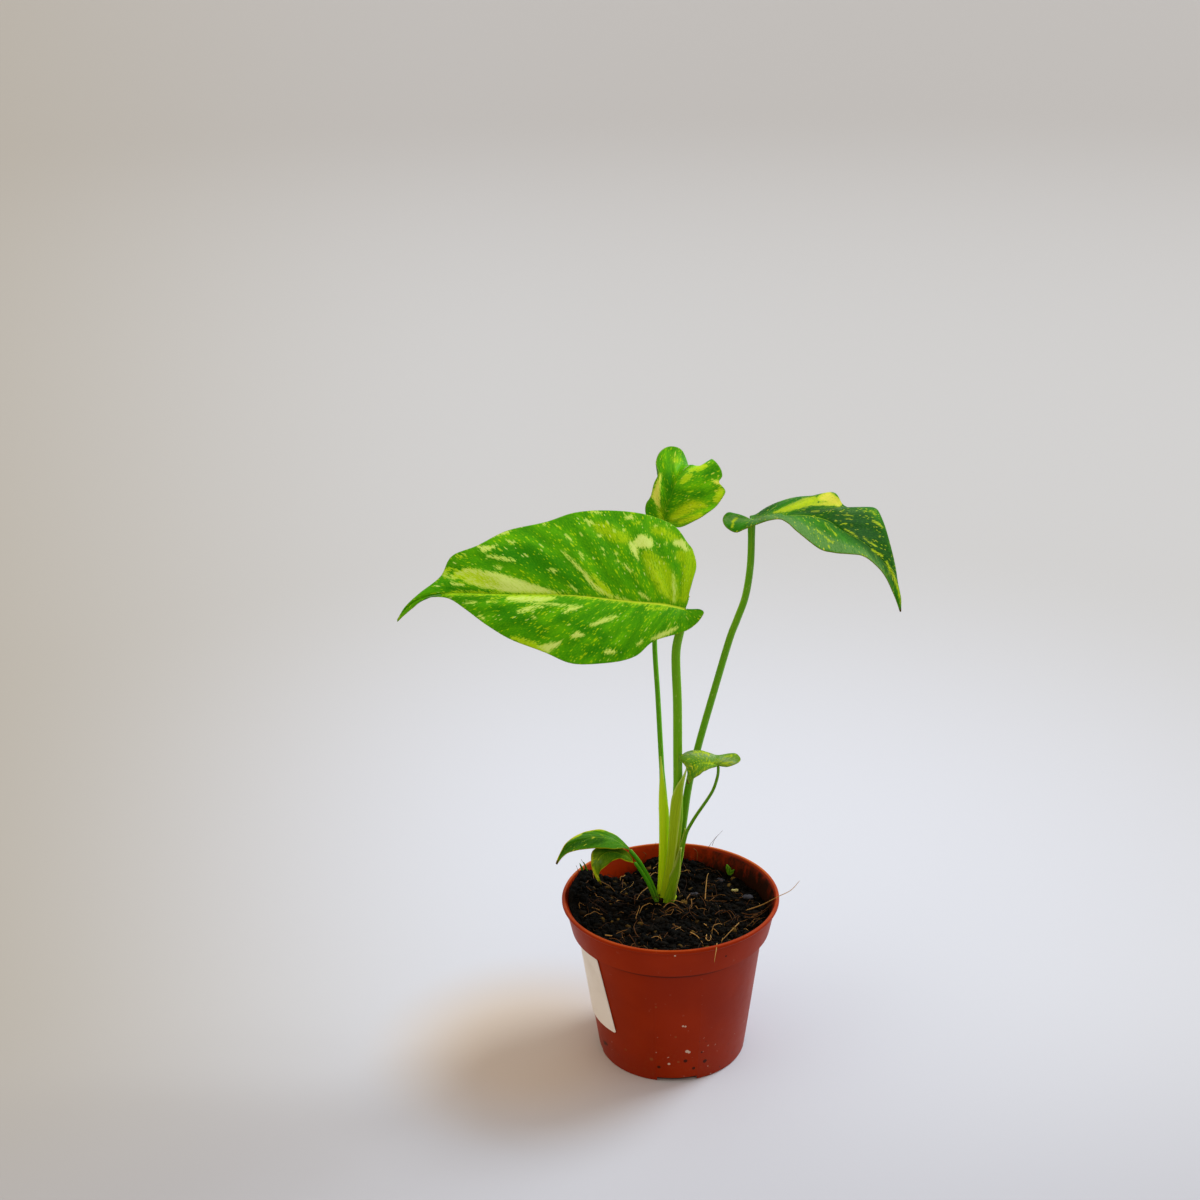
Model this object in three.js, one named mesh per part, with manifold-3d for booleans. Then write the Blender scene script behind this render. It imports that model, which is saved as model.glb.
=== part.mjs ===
// A young variegated aroid house plant in a small round nursery pot.
// Millimetres, +Z up. The origin is on the pot's axis, on the surface that the pot stands on.
// +X is to the right and -Y is towards the side that the large blade faces.
import * as THREE from "three";
import { mergeVertices } from "three/addons/utils/BufferGeometryUtils.js";
import Module from "manifold-3d";

const wasm = await Module();
wasm.setup();

// Driving dimensions of the pot
const potHeight = 70.5;
const rimRadius = 45;
const lipHeight = 2; // the bead round the rim
const lipRadius = 43.7; // the collar straight under the bead
const collarHeight = 14; // the wider band at the top, bead included
const collarRadius = 41.3; // its lower edge
const neckRadius = 38.4; // the wall straight under the collar
const footRadius = 30.8;
const wall = 1.3;
const lipWall = 1.7;
const floorTop = 4;
const footRecess = 2; // the underside is raised by this between the foot ring and the centre pad
const footRingWidth = 2.2;
const padRadius = 9;
const notchCount = 4;
const notchWidth = 16.5;
const notchDepth = 8;
const notchTurn = 1.5; // degrees that the front notch stands to the right of the front
const drainRadius = 3;
const drainAt = 20; // from the pot's axis to each drain hole
const potSides = 48;
const shoulder = 0.8; // the height over which the wall steps out under the collar
const collarLow = potHeight - collarHeight;
const lipLow = potHeight - lipHeight;

// Driving dimensions of the potting mix
const soilLevel = 61;
const soilBump = 0.7;
const soilRise = 0.9; // how far the mix climbs where it meets the collar
const gap = 0.3; // between pieces that rest on each other
const labelGap = 0.35;
const grainLift = 0.6; // clears the facets of the mix's top

// The buried stem, from which the leaf stalks rise, and the roots under it
const crown = { x: 0, y: 13.5, radius: 3.4, top: 62.4, bottom: 46 };
const rootCount = 5;
const rootRadius = 1.1;
const rootSpread = 12;
const rootDepth = 26;

// The blank sticker on the pot's left side: angles are seen from above, 0 towards +X
const label = {
  low: 19.5,
  high: 54,
  frontLow: -135,
  frontHigh: -143.5,
  backLow: -221,
  backHigh: -219,
  thick: 0.4,
};

const bladeThick = 0.8;
const smallBladeThick = 0.6;

// Stalks: centreline from the crown upwards, and [share of the length, half width, half depth]
const stalks = {
  main_petiole: {
    line: [
      [0.6, 11.6, 62.9],
      [2, 11.6, 79],
      [2.8, 11.6, 93],
      [3.9, 11.5, 109],
      [4, 10.5, 130],
      [4, 9, 153],
      [3.5, 7.6, 174],
      [5, 6.8, 184],
      [7.3, 6.1, 192.7],
    ],
    girth: [
      [0, 1.3, 1.1],
      [0.14, 2, 1.3],
      [0.3, 2.6, 1.5],
      [0.42, 1.9, 1.6],
      [1, 1.75, 1.6],
    ],
    steps: 26,
  },
  back_petiole: {
    line: [
      [-1.9, 14.6, 62.9],
      [-1.9, 15.9, 77],
      [-1.6, 17, 96],
      [-1.8, 18.6, 107],
      [-2.5, 22, 127],
      [-3.2, 28, 148],
      [-4, 35, 169],
      [-3, 39.5, 188],
      [-1, 41.8, 203],
      [0.6, 42.4, 217],
    ],
    girth: [
      [0, 1.1, 1.2],
      [0.14, 1.5, 1.5],
      [0.26, 1.9, 1.5],
      [0.36, 1.1, 1.2],
      [1, 1, 1],
    ],
    steps: 28,
  },
  right_petiole: {
    line: [
      [1.6, 15.4, 62.9],
      [4.2, 15.3, 78],
      [5.7, 15.2, 91],
      [8.6, 14.2, 113],
      [13, 13.2, 133],
      [19.2, 12, 157],
      [25.1, 11, 179],
      [28.2, 10.5, 188],
      [31.4, 10, 198],
      [33.2, 9.2, 212],
      [33.4, 8.2, 228.9],
    ],
    girth: [
      [0, 1.1, 1.1],
      [0.12, 1.6, 1.4],
      [0.25, 1.6, 1.4],
      [0.35, 1.5, 1.4],
      [0.95, 1.4, 1.3],
      [1, 1.6, 1.4],
    ],
    steps: 28,
  },
  small_petiole: {
    line: [
      [3.1, 12, 62.9],
      [4.4, 11.4, 69],
      [5.7, 11, 77],
      [6.3, 10.8, 86],
      [7.6, 10.6, 93.2],
      [9.4, 10.3, 97.5],
      [11.8, 9.8, 102],
      [16.5, 8.1, 110.4],
      [18.7, 7, 115.5],
      [20.1, 5.3, 122],
      [20.2, 4.3, 126],
    ],
    girth: [
      [0, 0.7, 0.8],
      [0.3, 0.75, 0.8],
      [1, 0.6, 0.6],
    ],
    steps: 20,
  },
  low_petiole_upper: {
    line: [
      [-2.4, 12.1, 63],
      [-7.4, 12.1, 71],
      [-10.9, 11.8, 77],
      [-13.3, 11.4, 81],
      [-15.9, 11, 84.9],
    ],
    girth: [
      [0, 0.7, 0.9],
      [0.5, 0.75, 0.9],
      [1, 0.65, 0.8],
    ],
    steps: 12,
  },
  low_petiole_lower: {
    line: [
      [-3.8, 10.4, 62.6],
      [-8.1, 10.2, 69.5],
      [-11.4, 10, 75.3],
      [-14, 9.2, 80],
    ],
    girth: [
      [0, 0.6, 0.8],
      [1, 0.55, 0.7],
    ],
    steps: 10,
  },
};

// Blades: the midrib and both margins run from the stalk to the tip. Left and right are as seen
// from the stalk, looking along the midrib with the upper side up. bow lifts each half between
// midrib and margin.
const blades = {
  main_leaf: {
    rib: [
      [7.6, 5.6, 194.4],
      [-1.5, 6, 196.5],
      [-15.5, 6.5, 198],
      [-37, 6.5, 201],
      [-61, 5.5, 202.5],
      [-77, 5, 203.5],
      [-88.5, 4, 204],
      [-96, 3.5, 203],
      [-101.5, 2, 199.5],
      [-105.5, 1, 194.5],
    ],
    right: [
      [7.5, 7, 196],
      [7.5, 10, 200],
      [12, 16, 207.5],
      [10.5, 22.5, 215],
      [4, 27.5, 222],
      [-7, 30, 226],
      [-21, 30.5, 228],
      [-35, 29, 228],
      [-47, 25.5, 225.5],
      [-62, 22, 223.5],
      [-74, 17, 219],
      [-84, 14, 216],
      [-88.5, 9, 209.5],
      [-96.5, 4, 204.5],
      [-102, 2, 200],
      [-105.5, 1.3, 194.8],
    ],
    left: [
      [9, 4.6, 194],
      [12, 3.5, 195],
      [14, 2.5, 194],
      [11, -0.5, 191],
      [6, -2.5, 188],
      [-5.5, -6, 186],
      [-13, -10, 181.5],
      [-23.5, -11.5, 179.5],
      [-37, -11.5, 179.5],
      [-48, -9, 183.5],
      [-61, -7, 188.5],
      [-70, -4.5, 193.5],
      [-78, -0.5, 198.5],
      [-84.5, 2.5, 202],
      [-89.5, 3, 203],
      [-95, 2.5, 202.5],
      [-100.5, 0.5, 199],
      [-105.5, 0.7, 194.2],
    ],
    bow: 2,
    thick: bladeThick,
    steps: 34,
    lanes: 4,
  },
  right_leaf: {
    rib: [
      [33.2, 8.2, 229.8],
      [40.5, 7, 231],
      [52, 6, 232],
      [61.5, 4, 230.5],
      [68, 2, 226.5],
      [75.5, 0, 222.5],
      [82.5, -2, 216],
      [87.5, -3, 208.5],
      [90, -4, 202],
      [90.5, -4, 195],
    ],
    left: [
      [33.6, 9, 230],
      [33, 11, 230.5],
      [36, 15, 230],
      [44.5, 24, 231.5],
      [53, 28, 232.5],
      [61, 31, 232],
      [68.5, 32, 232.3],
      [72, 30, 228],
      [77, 27, 227],
      [83, 24, 228.5],
      [85.5, 20, 226.5],
      [87.5, 10, 219],
      [88.5, 4, 212],
      [90, -1, 203],
      [90.7, -3.7, 195],
    ],
    right: [
      [32.8, 7.4, 230],
      [31, 8, 231],
      [28, 8.5, 231.5],
      [25.5, 8.5, 233],
      [23.5, 7.5, 233],
      [22, 5.5, 231.5],
      [22.5, 3, 229.5],
      [24.5, 1, 228],
      [27, 0, 227.5],
      [30, -1.5, 229.5],
      [34.5, -4, 232],
      [41.5, -10, 236],
      [45, -13, 235.5],
      [48.5, -16, 232.8],
      [56.5, -19, 227],
      [62, -19, 225.4],
      [68, -17, 223.8],
      [73.5, -14, 221.5],
      [79, -12, 217],
      [83.5, -9, 211.5],
      [87, -6.5, 203.5],
      [90.2, -4.3, 195],
    ],
    bow: 1.5,
    thick: bladeThick,
    steps: 34,
    lanes: 4,
  },
  back_leaf: {
    rib: [
      [0.6, 42.2, 218],
      [2, 43, 225],
      [4, 44, 229.5],
      [6.5, 47, 236],
      [12, 53, 239.5],
      [16.5, 62, 234.5],
      [18, 68, 225.5],
      [18, 71, 215],
    ],
    left: [
      [-0.4, 41.4, 218],
      [-4, 39.5, 219],
      [-6.5, 39.5, 223],
      [-6.5, 40.5, 227],
      [-4.5, 42, 230],
      [-3, 43, 235],
      [-1, 44.5, 239],
      [-2, 47, 242.5],
      [0, 51, 246],
      [4, 56, 246.5],
      [9, 62, 243],
      [11.5, 67, 235],
      [14, 70, 226],
      [17.7, 71, 215],
    ],
    right: [
      [1.8, 41.6, 217.4],
      [7, 37.5, 218],
      [13.5, 36, 220.5],
      [18.5, 37, 223],
      [22.5, 39.5, 226.5],
      [25.5, 42, 230],
      [25, 45, 233],
      [23.5, 47, 235],
      [25.5, 49, 236.5],
      [23, 54, 239.5],
      [21, 59, 239.5],
      [20.5, 65, 234],
      [20.5, 69, 225.5],
      [18.3, 71, 215],
    ],
    bow: 0.6,
    thick: bladeThick,
    steps: 28,
    lanes: 3,
  },
  small_leaf: {
    rib: [
      [20, 4, 127],
      [17, 3, 128.5],
      [13, 2, 129],
      [10, 1, 128.5],
      [8.5, -1, 126],
      [7.5, -2, 122],
    ],
    right: [
      [20.5, 4.6, 127],
      [24, 4.5, 126],
      [28.5, 6, 127],
      [29.5, 7.5, 128],
      [28, 9, 129.5],
      [25.5, 9.5, 129.5],
      [20.5, 9, 129],
      [17, 9.5, 130],
      [13, 10, 131],
      [9.5, 9.8, 131],
      [6.5, 8.5, 130.5],
      [4.5, 6, 129.5],
      [6.5, 3.5, 128],
      [7.6, 0.8, 126],
      [7.4, -1.7, 122],
    ],
    left: [
      [19.6, 3.4, 126.9],
      [16.5, 0, 127.5],
      [14, -1.5, 127],
      [12, -2.5, 126],
      [9.5, -3, 124.5],
      [7.7, -2.3, 122],
    ],
    bow: 0.5,
    thick: smallBladeThick,
    steps: 20,
    lanes: 3,
  },
  low_leaf_upper: {
    rib: [
      [-16.5, 11, 86],
      [-23, 11, 90.5],
      [-30, 10.5, 92],
      [-37, 10, 91],
      [-42.5, 8.5, 88],
      [-47, 6, 82.5],
    ],
    right: [
      [-16.8, 11.9, 86.4],
      [-20, 15, 88.5],
      [-23, 17, 90],
      [-27.5, 18, 91.5],
      [-31, 18, 91.5],
      [-35.5, 17, 91],
      [-41, 13, 90],
      [-44, 10, 88],
      [-47.2, 6.3, 82.6],
    ],
    left: [
      [-16.2, 10.2, 86],
      [-19, 7, 88.5],
      [-23, 4, 90],
      [-27, 3, 91],
      [-31.5, 3, 91],
      [-37.5, 4, 90],
      [-43, 6, 87],
      [-46.8, 5.7, 82.4],
    ],
    bow: 0.6,
    thick: smallBladeThick,
    steps: 20,
    lanes: 3,
  },
  low_leaf_lower: {
    rib: [
      [-15.2, 9.2, 81.5],
      [-20, 8, 85.5],
      [-25.5, 6.5, 87.2],
      [-29.5, 4.5, 85],
      [-30.5, 3.5, 80.5],
      [-28.5, 3, 74],
    ],
    right: [
      [-15.3, 9.7, 81.8],
      [-18, 10.6, 85.6],
      [-24, 11.5, 87.8],
      [-29, 9.5, 88],
      [-32, 7.5, 87],
      [-32.5, 6, 83.5],
      [-32, 5, 80],
      [-30.5, 4, 76.5],
      [-28.7, 3.1, 74],
    ],
    left: [
      [-15, 8.4, 80.8],
      [-18, 7, 82.5],
      [-20.5, 6.5, 84],
      [-23, 5.5, 84],
      [-25, 5, 83],
      [-27, 4, 81.5],
      [-29, 4, 79.5],
      [-29.5, 3.5, 77],
      [-28.3, 2.9, 74],
    ],
    bow: 0.5,
    thick: smallBladeThick,
    steps: 20,
    lanes: 3,
  },
};

// Loose bits on the potting mix: [x, y] of the centre, and sizes along X, Y and Z
const grains = {
  perlite_grain_large: { at: [28.5, 17.6], size: [1.8, 1.6, 1.5] },
  perlite_grain_small: { at: [26.2, 18.4], size: [1.2, 1.1, 1] },
  bark_chip_rear: { at: [22.6, 27.4], size: [4.6, 3.4, 1.8] },
  bark_chip_middle: { at: [10.6, 15.4], size: [4.2, 3, 1.8] },
  bark_chip_right: { at: [33, 10], size: [5, 3.2, 1.6] },
};

// Dry root fibres that stand up from the mix
const fibreRadius = 0.4;
const fibres = {
  root_fibre_over_rim: [
    [31, -2.5, 63.2],
    [37.6, -4.8, 67],
    [43.8, -6.5, 71.6],
    [49.8, -2, 72],
    [54.1, 2, 74.4],
  ],
  root_fibre_front: [
    [28, -9.5, 61.8],
    [24, -17.5, 62.9],
    [19.3, -24, 61.9],
  ],
  root_fibre_middle: [
    [15, 9, 62.2],
    [15.8, 16, 64],
    [16.8, 24, 64.6],
    [18, 31, 62.6],
  ],
};

const colours = {
  terracotta: 0x8a2a10,
  paper: 0xe9e6df,
  mix: 0x17110c,
  crownOlive: 0x7a8a2a,
  stalkGreen: 0x5a9a10,
  leafGreen: 0x3f8f0c,
  perlite: 0xd8cfa8,
  bark: 0x3a3a44,
  fibre: 0x8a6a3a,
};
const matte = (color, roughness) => new THREE.MeshStandardMaterial({ color, roughness, metalness: 0 });
const plant = new THREE.Group();

function addPiece(name, geometry, material) {
  const mesh = new THREE.Mesh(geometry, material);
  mesh.name = name;
  plant.add(mesh);
}

// Keeps positions only and joins shared vertices, so that the surface is closed.
function closed(geometry) {
  geometry.deleteAttribute("normal");
  geometry.deleteAttribute("uv");
  const joined = mergeVertices(geometry, 1e-4);
  joined.computeVertexNormals();
  return joined;
}

function solid(geometry) {
  const joined = closed(geometry);
  return new wasm.Manifold(
    new wasm.Mesh({
      numProp: 3,
      vertProperties: joined.attributes.position.array,
      triVerts: new Uint32Array(joined.index.array),
    }),
  );
}

function geometryOf(body) {
  const mesh = body.getMesh();
  const geometry = new THREE.BufferGeometry();
  geometry.setAttribute("position", new THREE.BufferAttribute(mesh.vertProperties, 3));
  geometry.setIndex(new THREE.BufferAttribute(mesh.triVerts, 1));
  geometry.computeVertexNormals();
  return geometry;
}

// Turns a profile of [radius, height] pairs about the vertical axis.
function turned(profile, sides) {
  const points = profile.map(([radius, height]) => new THREE.Vector2(radius, height));
  return new THREE.LatheGeometry(points, sides).rotateX(Math.PI / 2);
}

// Moves each vertex of a geometry through a function of its old place.
function reshaped(geometry, place) {
  const position = geometry.attributes.position;
  const point = new THREE.Vector3();
  for (let i = 0; i < position.count; i++) {
    point.fromBufferAttribute(position, i);
    place(point);
    position.setXYZ(i, point.x, point.y, point.z);
  }
  return geometry;
}

function smoothLine(points) {
  const corners = points.map((p) => new THREE.Vector3(...p));
  return new THREE.CatmullRomCurve3(corners, false, "catmullrom", 0.5);
}

function lerpTable(table, share) {
  const next = table.findIndex((row) => row[0] >= share);
  if (next <= 0) return table[next === 0 ? 0 : table.length - 1].slice(1);
  const [from, to] = [table[next - 1], table[next]];
  const mix = (share - from[0]) / (to[0] - from[0]);
  return [1, 2].map((k) => from[k] + (to[k] - from[k]) * mix);
}

// A stalk with an oval section that changes along its line.
function stalk({ line, girth, steps }, extra = 0, sides = 10) {
  const curve = smoothLine(line);
  const sideways = new THREE.Vector3(1, 0, 0);
  return reshaped(new THREE.CylinderGeometry(1, 1, 1, sides, steps), (point) => {
    const share = THREE.MathUtils.clamp(point.y + 0.5, 0, 1);
    const along = curve.getTangentAt(share);
    const across = sideways.clone().addScaledVector(along, -along.dot(sideways)).normalize();
    const deep = along.clone().cross(across);
    const [halfWidth, halfDepth] = lerpTable(girth, share);
    const { x, z } = point;
    point.copy(curve.getPointAt(share));
    point.addScaledVector(across, x * (halfWidth + extra));
    point.addScaledVector(deep, -z * (halfDepth + extra));
  });
}

// The blade's middle surface is made of straight lines from the midrib to the margin, which
// leave the midrib close together near the stalk and fan out as the side veins do.
const fan = 2.2;

function bladeShell({ rib, left, right, bow, thick, steps, lanes }) {
  const ribLine = smoothLine(rib);
  const edges = { left: smoothLine(left), right: smoothLine(right) };
  const place = (point) => {
    const share = THREE.MathUtils.clamp(point.y + 0.5, 0, 1);
    const edge = point.x < 0 ? edges.left : edges.right;
    const out = Math.min(1, Math.abs(point.x) * 2);
    const onRib = ribLine.getPointAt(share ** fan);
    const onEdge = edge.getPointAt(share);
    point.copy(onRib).lerp(onEdge, out);
  };
  const sheet = reshaped(new THREE.PlaneGeometry(1, 1, 2 * lanes, steps), place);
  sheet.computeVertexNormals();
  const normals = sheet.attributes.normal;
  const normal = new THREE.Vector3();
  return reshaped(new THREE.BoxGeometry(1, 1, 1, 2 * lanes, steps, 1), (point) => {
    const column = Math.round((point.x + 0.5) * 2 * lanes);
    const row = Math.round((0.5 - point.y) * steps);
    const out = Math.abs(point.x) * 2;
    const share = point.y + 0.5;
    const side = point.z * thick;
    const lift = bow * 4 * out * (1 - out) * Math.sin(Math.PI * share);
    normal.fromBufferAttribute(normals, row * (2 * lanes + 1) + column);
    place(point);
    point.addScaledVector(normal, side + lift);
  });
}

// The outside of the wall under the collar, and the inside of the collar, at a height.
function wallAt(height) {
  return THREE.MathUtils.mapLinear(height, 0, collarLow, footRadius, neckRadius);
}

function collarInsideAt(height) {
  return THREE.MathUtils.mapLinear(height, collarLow, lipLow, collarRadius, lipRadius) - wall;
}

function pot() {
  const profile = [
    [0, 0],
    [padRadius, 0],
    [padRadius + 0.6, footRecess],
    [footRadius - footRingWidth - 0.4, footRecess],
    [footRadius - footRingWidth, 0],
    [footRadius - 0.5, 0],
    [footRadius, 0.5],
    [wallAt(collarLow - shoulder), collarLow - shoulder],
    [neckRadius + 0.3, collarLow],
    [collarRadius - 0.7, collarLow],
    [collarRadius, collarLow + 0.8],
    [lipRadius, lipLow],
    [rimRadius - 0.3, lipLow + 0.4],
    [rimRadius, lipLow + 0.9],
    [rimRadius - 0.2, potHeight - 0.4],
    [rimRadius - 0.7, potHeight],
    [rimRadius - lipWall + 0.4, potHeight - 0.1],
    [rimRadius - lipWall, potHeight - 0.7],
    [collarInsideAt(lipLow), lipLow],
    [collarInsideAt(collarLow + 2 * shoulder), collarLow + 2 * shoulder],
    [wallAt(collarLow) - wall, collarLow + shoulder],
    [wallAt(floorTop) - wall - 0.6, floorTop + 0.6],
    [wallAt(floorTop) - wall - 1.4, floorTop],
    [0, floorTop],
  ];
  let body = solid(turned(profile, potSides));
  for (let i = 0; i < notchCount; i++) {
    const turn = THREE.MathUtils.degToRad(notchTurn - 90 + (360 * i) / notchCount);
    const notch = new THREE.BoxGeometry(notchDepth, notchWidth, 2 * footRecess);
    notch.translate(footRadius, 0, 0).rotateZ(turn);
    const hole = new THREE.CylinderGeometry(drainRadius, drainRadius, 3 * floorTop, 16);
    hole.rotateX(Math.PI / 2).translate(drainAt, 0, floorTop).rotateZ(turn);
    body = body.subtract(solid(notch)).subtract(solid(hole));
  }
  return geometryOf(body);
}

// The buried stem and its main roots, grown as one piece. extra widens it to make its bed.
function rootCrown(extra) {
  const { radius, top, bottom } = crown;
  const stem = turned(
    [
      [0, bottom - extra],
      [radius * 0.6 + extra, bottom - extra],
      [radius + extra, bottom + 4],
      [radius + extra, top - 1],
      [radius * 0.8 + extra, top + extra],
      [0, top + extra],
    ],
    20,
  );
  let body = solid(stem.translate(crown.x, crown.y, 0));
  for (let i = 0; i < rootCount; i++) {
    const turn = (2 * Math.PI * i) / rootCount + 0.5;
    const out = (reach) => [crown.x + reach * Math.cos(turn), crown.y + reach * Math.sin(turn) * 0.8];
    const root = {
      line: [
        [...out(1), bottom + 6],
        [...out(rootSpread * 0.6), bottom - 1],
        [...out(rootSpread), bottom - rootDepth * 0.45],
        [...out(rootSpread + (i % 2)), bottom - rootDepth + 2 * i - extra],
      ],
      girth: [
        [0, rootRadius, rootRadius],
        [1, rootRadius / 2, rootRadius / 2],
      ],
      steps: 9,
    };
    body = body.add(solid(stalk(root, extra, 8)));
  }
  return body;
}

// The height of the mix, which lies in low waves.
function soilHeight(x, y) {
  return soilLevel + soilBump * Math.sin(x * 0.31 + 1) * Math.cos(y * 0.37 - 0.4);
}

function soil() {
  const edgeTop = soilLevel + soilRise;
  const stepTop = collarLow + 2 * shoulder + 2 * gap;
  const profile = [
    [0, floorTop + gap],
    [wallAt(floorTop) - wall - 1.8, floorTop + gap],
    [wallAt(floorTop) - wall - gap - 0.6, floorTop + 1.2],
    [wallAt(collarLow) - wall - gap, collarLow + shoulder + gap],
    [collarInsideAt(stepTop) - gap, stepTop],
    [collarInsideAt(soilLevel) - gap, soilLevel],
    [collarInsideAt(soilLevel) - 4 * gap, edgeTop],
    ...[36, 30, 24, 18, 12, 6].map((radius) => [radius, soilLevel]),
    [0, soilLevel],
  ];
  const body = reshaped(turned(profile, potSides), (point) => {
    const radius = Math.hypot(point.x, point.y);
    if (point.z < soilLevel - 0.1 || radius > collarInsideAt(soilLevel) - 2 * gap) return;
    point.z += soilHeight(point.x, point.y) - soilLevel;
  });
  return geometryOf(solid(body).subtract(rootCrown(gap)));
}

function potLabel() {
  return reshaped(new THREE.BoxGeometry(1, 1, 1, 16, 4, 1), (point) => {
    const up = point.y + 0.5;
    const across = point.x + 0.5;
    const height = THREE.MathUtils.lerp(label.low, label.high, up);
    const front = THREE.MathUtils.lerp(label.frontLow, label.frontHigh, up);
    const back = THREE.MathUtils.lerp(label.backLow, label.backHigh, up);
    const turn = THREE.MathUtils.degToRad(THREE.MathUtils.lerp(back, front, across));
    const radius = wallAt(height) + labelGap + (point.z + 0.5) * label.thick;
    point.set(radius * Math.cos(turn), radius * Math.sin(turn), height);
  });
}

function grain({ at, size }) {
  const [x, y] = at;
  const [wide, deep, high] = size;
  const lump = new THREE.IcosahedronGeometry(0.5, 1).scale(wide, deep, high);
  return lump.translate(x, y, soilHeight(x, y) + grainLift + high / 2);
}

addPiece("pot", pot(), matte(colours.terracotta, 0.45));
addPiece("pot_label", closed(potLabel()), matte(colours.paper, 0.6));
addPiece("soil", soil(), matte(colours.mix, 0.95));
addPiece("root_crown", geometryOf(rootCrown(0)), matte(colours.crownOlive, 0.7));
for (const [name, form] of Object.entries(stalks))
  addPiece(name, closed(stalk(form)), matte(colours.stalkGreen, 0.45));
for (const [name, form] of Object.entries(blades))
  addPiece(name, closed(bladeShell(form)), matte(colours.leafGreen, 0.4));
for (const [name, form] of Object.entries(grains)) {
  const colour = name.startsWith("perlite") ? colours.perlite : colours.bark;
  addPiece(name, closed(grain(form)), matte(colour, 0.8));
}
for (const [name, line] of Object.entries(fibres)) {
  const girth = [0, 1].map((share) => [share, fibreRadius, fibreRadius]);
  addPiece(name, closed(stalk({ line, girth, steps: 10 }, 0, 6)), matte(colours.fibre, 0.8));
}

export default plant;
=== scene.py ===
import math
import random

import bmesh
import bpy
import numpy as np
from mathutils import Matrix, Vector, noise


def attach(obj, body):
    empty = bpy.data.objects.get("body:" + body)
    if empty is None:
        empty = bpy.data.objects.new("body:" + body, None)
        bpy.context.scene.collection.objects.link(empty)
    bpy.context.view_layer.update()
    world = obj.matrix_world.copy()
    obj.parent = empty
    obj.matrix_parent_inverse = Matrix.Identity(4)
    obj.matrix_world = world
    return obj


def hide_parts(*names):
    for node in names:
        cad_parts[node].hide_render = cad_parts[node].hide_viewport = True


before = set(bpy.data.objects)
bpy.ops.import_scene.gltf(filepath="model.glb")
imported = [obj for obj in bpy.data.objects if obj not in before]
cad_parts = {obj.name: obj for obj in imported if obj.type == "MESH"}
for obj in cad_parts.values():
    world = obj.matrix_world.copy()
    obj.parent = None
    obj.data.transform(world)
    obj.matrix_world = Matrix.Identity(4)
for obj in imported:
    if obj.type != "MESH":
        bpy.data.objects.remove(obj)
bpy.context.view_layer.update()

mm = 0.001
seed = 11
random.seed(seed)
noise.seed_set(seed)  # without it the bumps of the crumbs and loose bits differ with each run


# Shader maths: a signal is an output socket that can stand in a Python expression
class Signal:
    def __init__(self, finish, socket):
        self.finish = finish
        self.socket = socket

    def math(self, operation, first, second=0.0):
        return self.finish.node("Math", {"operation": operation}, {0: first, 1: second})

    def __add__(self, other):
        return self.math("ADD", self, other)

    __radd__ = __add__

    def __sub__(self, other):
        return self.math("SUBTRACT", self, other)

    def __rsub__(self, other):
        return self.math("SUBTRACT", other, self)

    def __mul__(self, other):
        return self.math("MULTIPLY", self, other)

    __rmul__ = __mul__

    def __truediv__(self, other):
        return self.math("DIVIDE", self, other)

    def __pow__(self, power):
        return self.math("POWER", self, power)

    def squared(self):
        return self * self

    def atLeast(self, other):
        return self.math("MAXIMUM", self, other)

    def atMost(self, other):
        return self.math("MINIMUM", self, other)

    def ramp(self, low, high):  # 0 below low, 1 above high, smooth between
        sockets = {"Value": self, "From Min": low, "From Max": high}
        return self.finish.node("MapRange", {"interpolation_type": "SMOOTHSTEP"}, sockets)

    def beside(self, out):  # another output of the same node
        return Signal(self.finish, self.socket.node.outputs[out])


def tint(code):  # a screen colour such as #4ca000 as linear red, green and blue
    parts = [int(code[i : i + 2], 16) / 255 for i in (1, 3, 5)]
    return tuple(((p + 0.055) / 1.055) ** 2.4 if p > 0.04 else p / 12.92 for p in parts)


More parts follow.
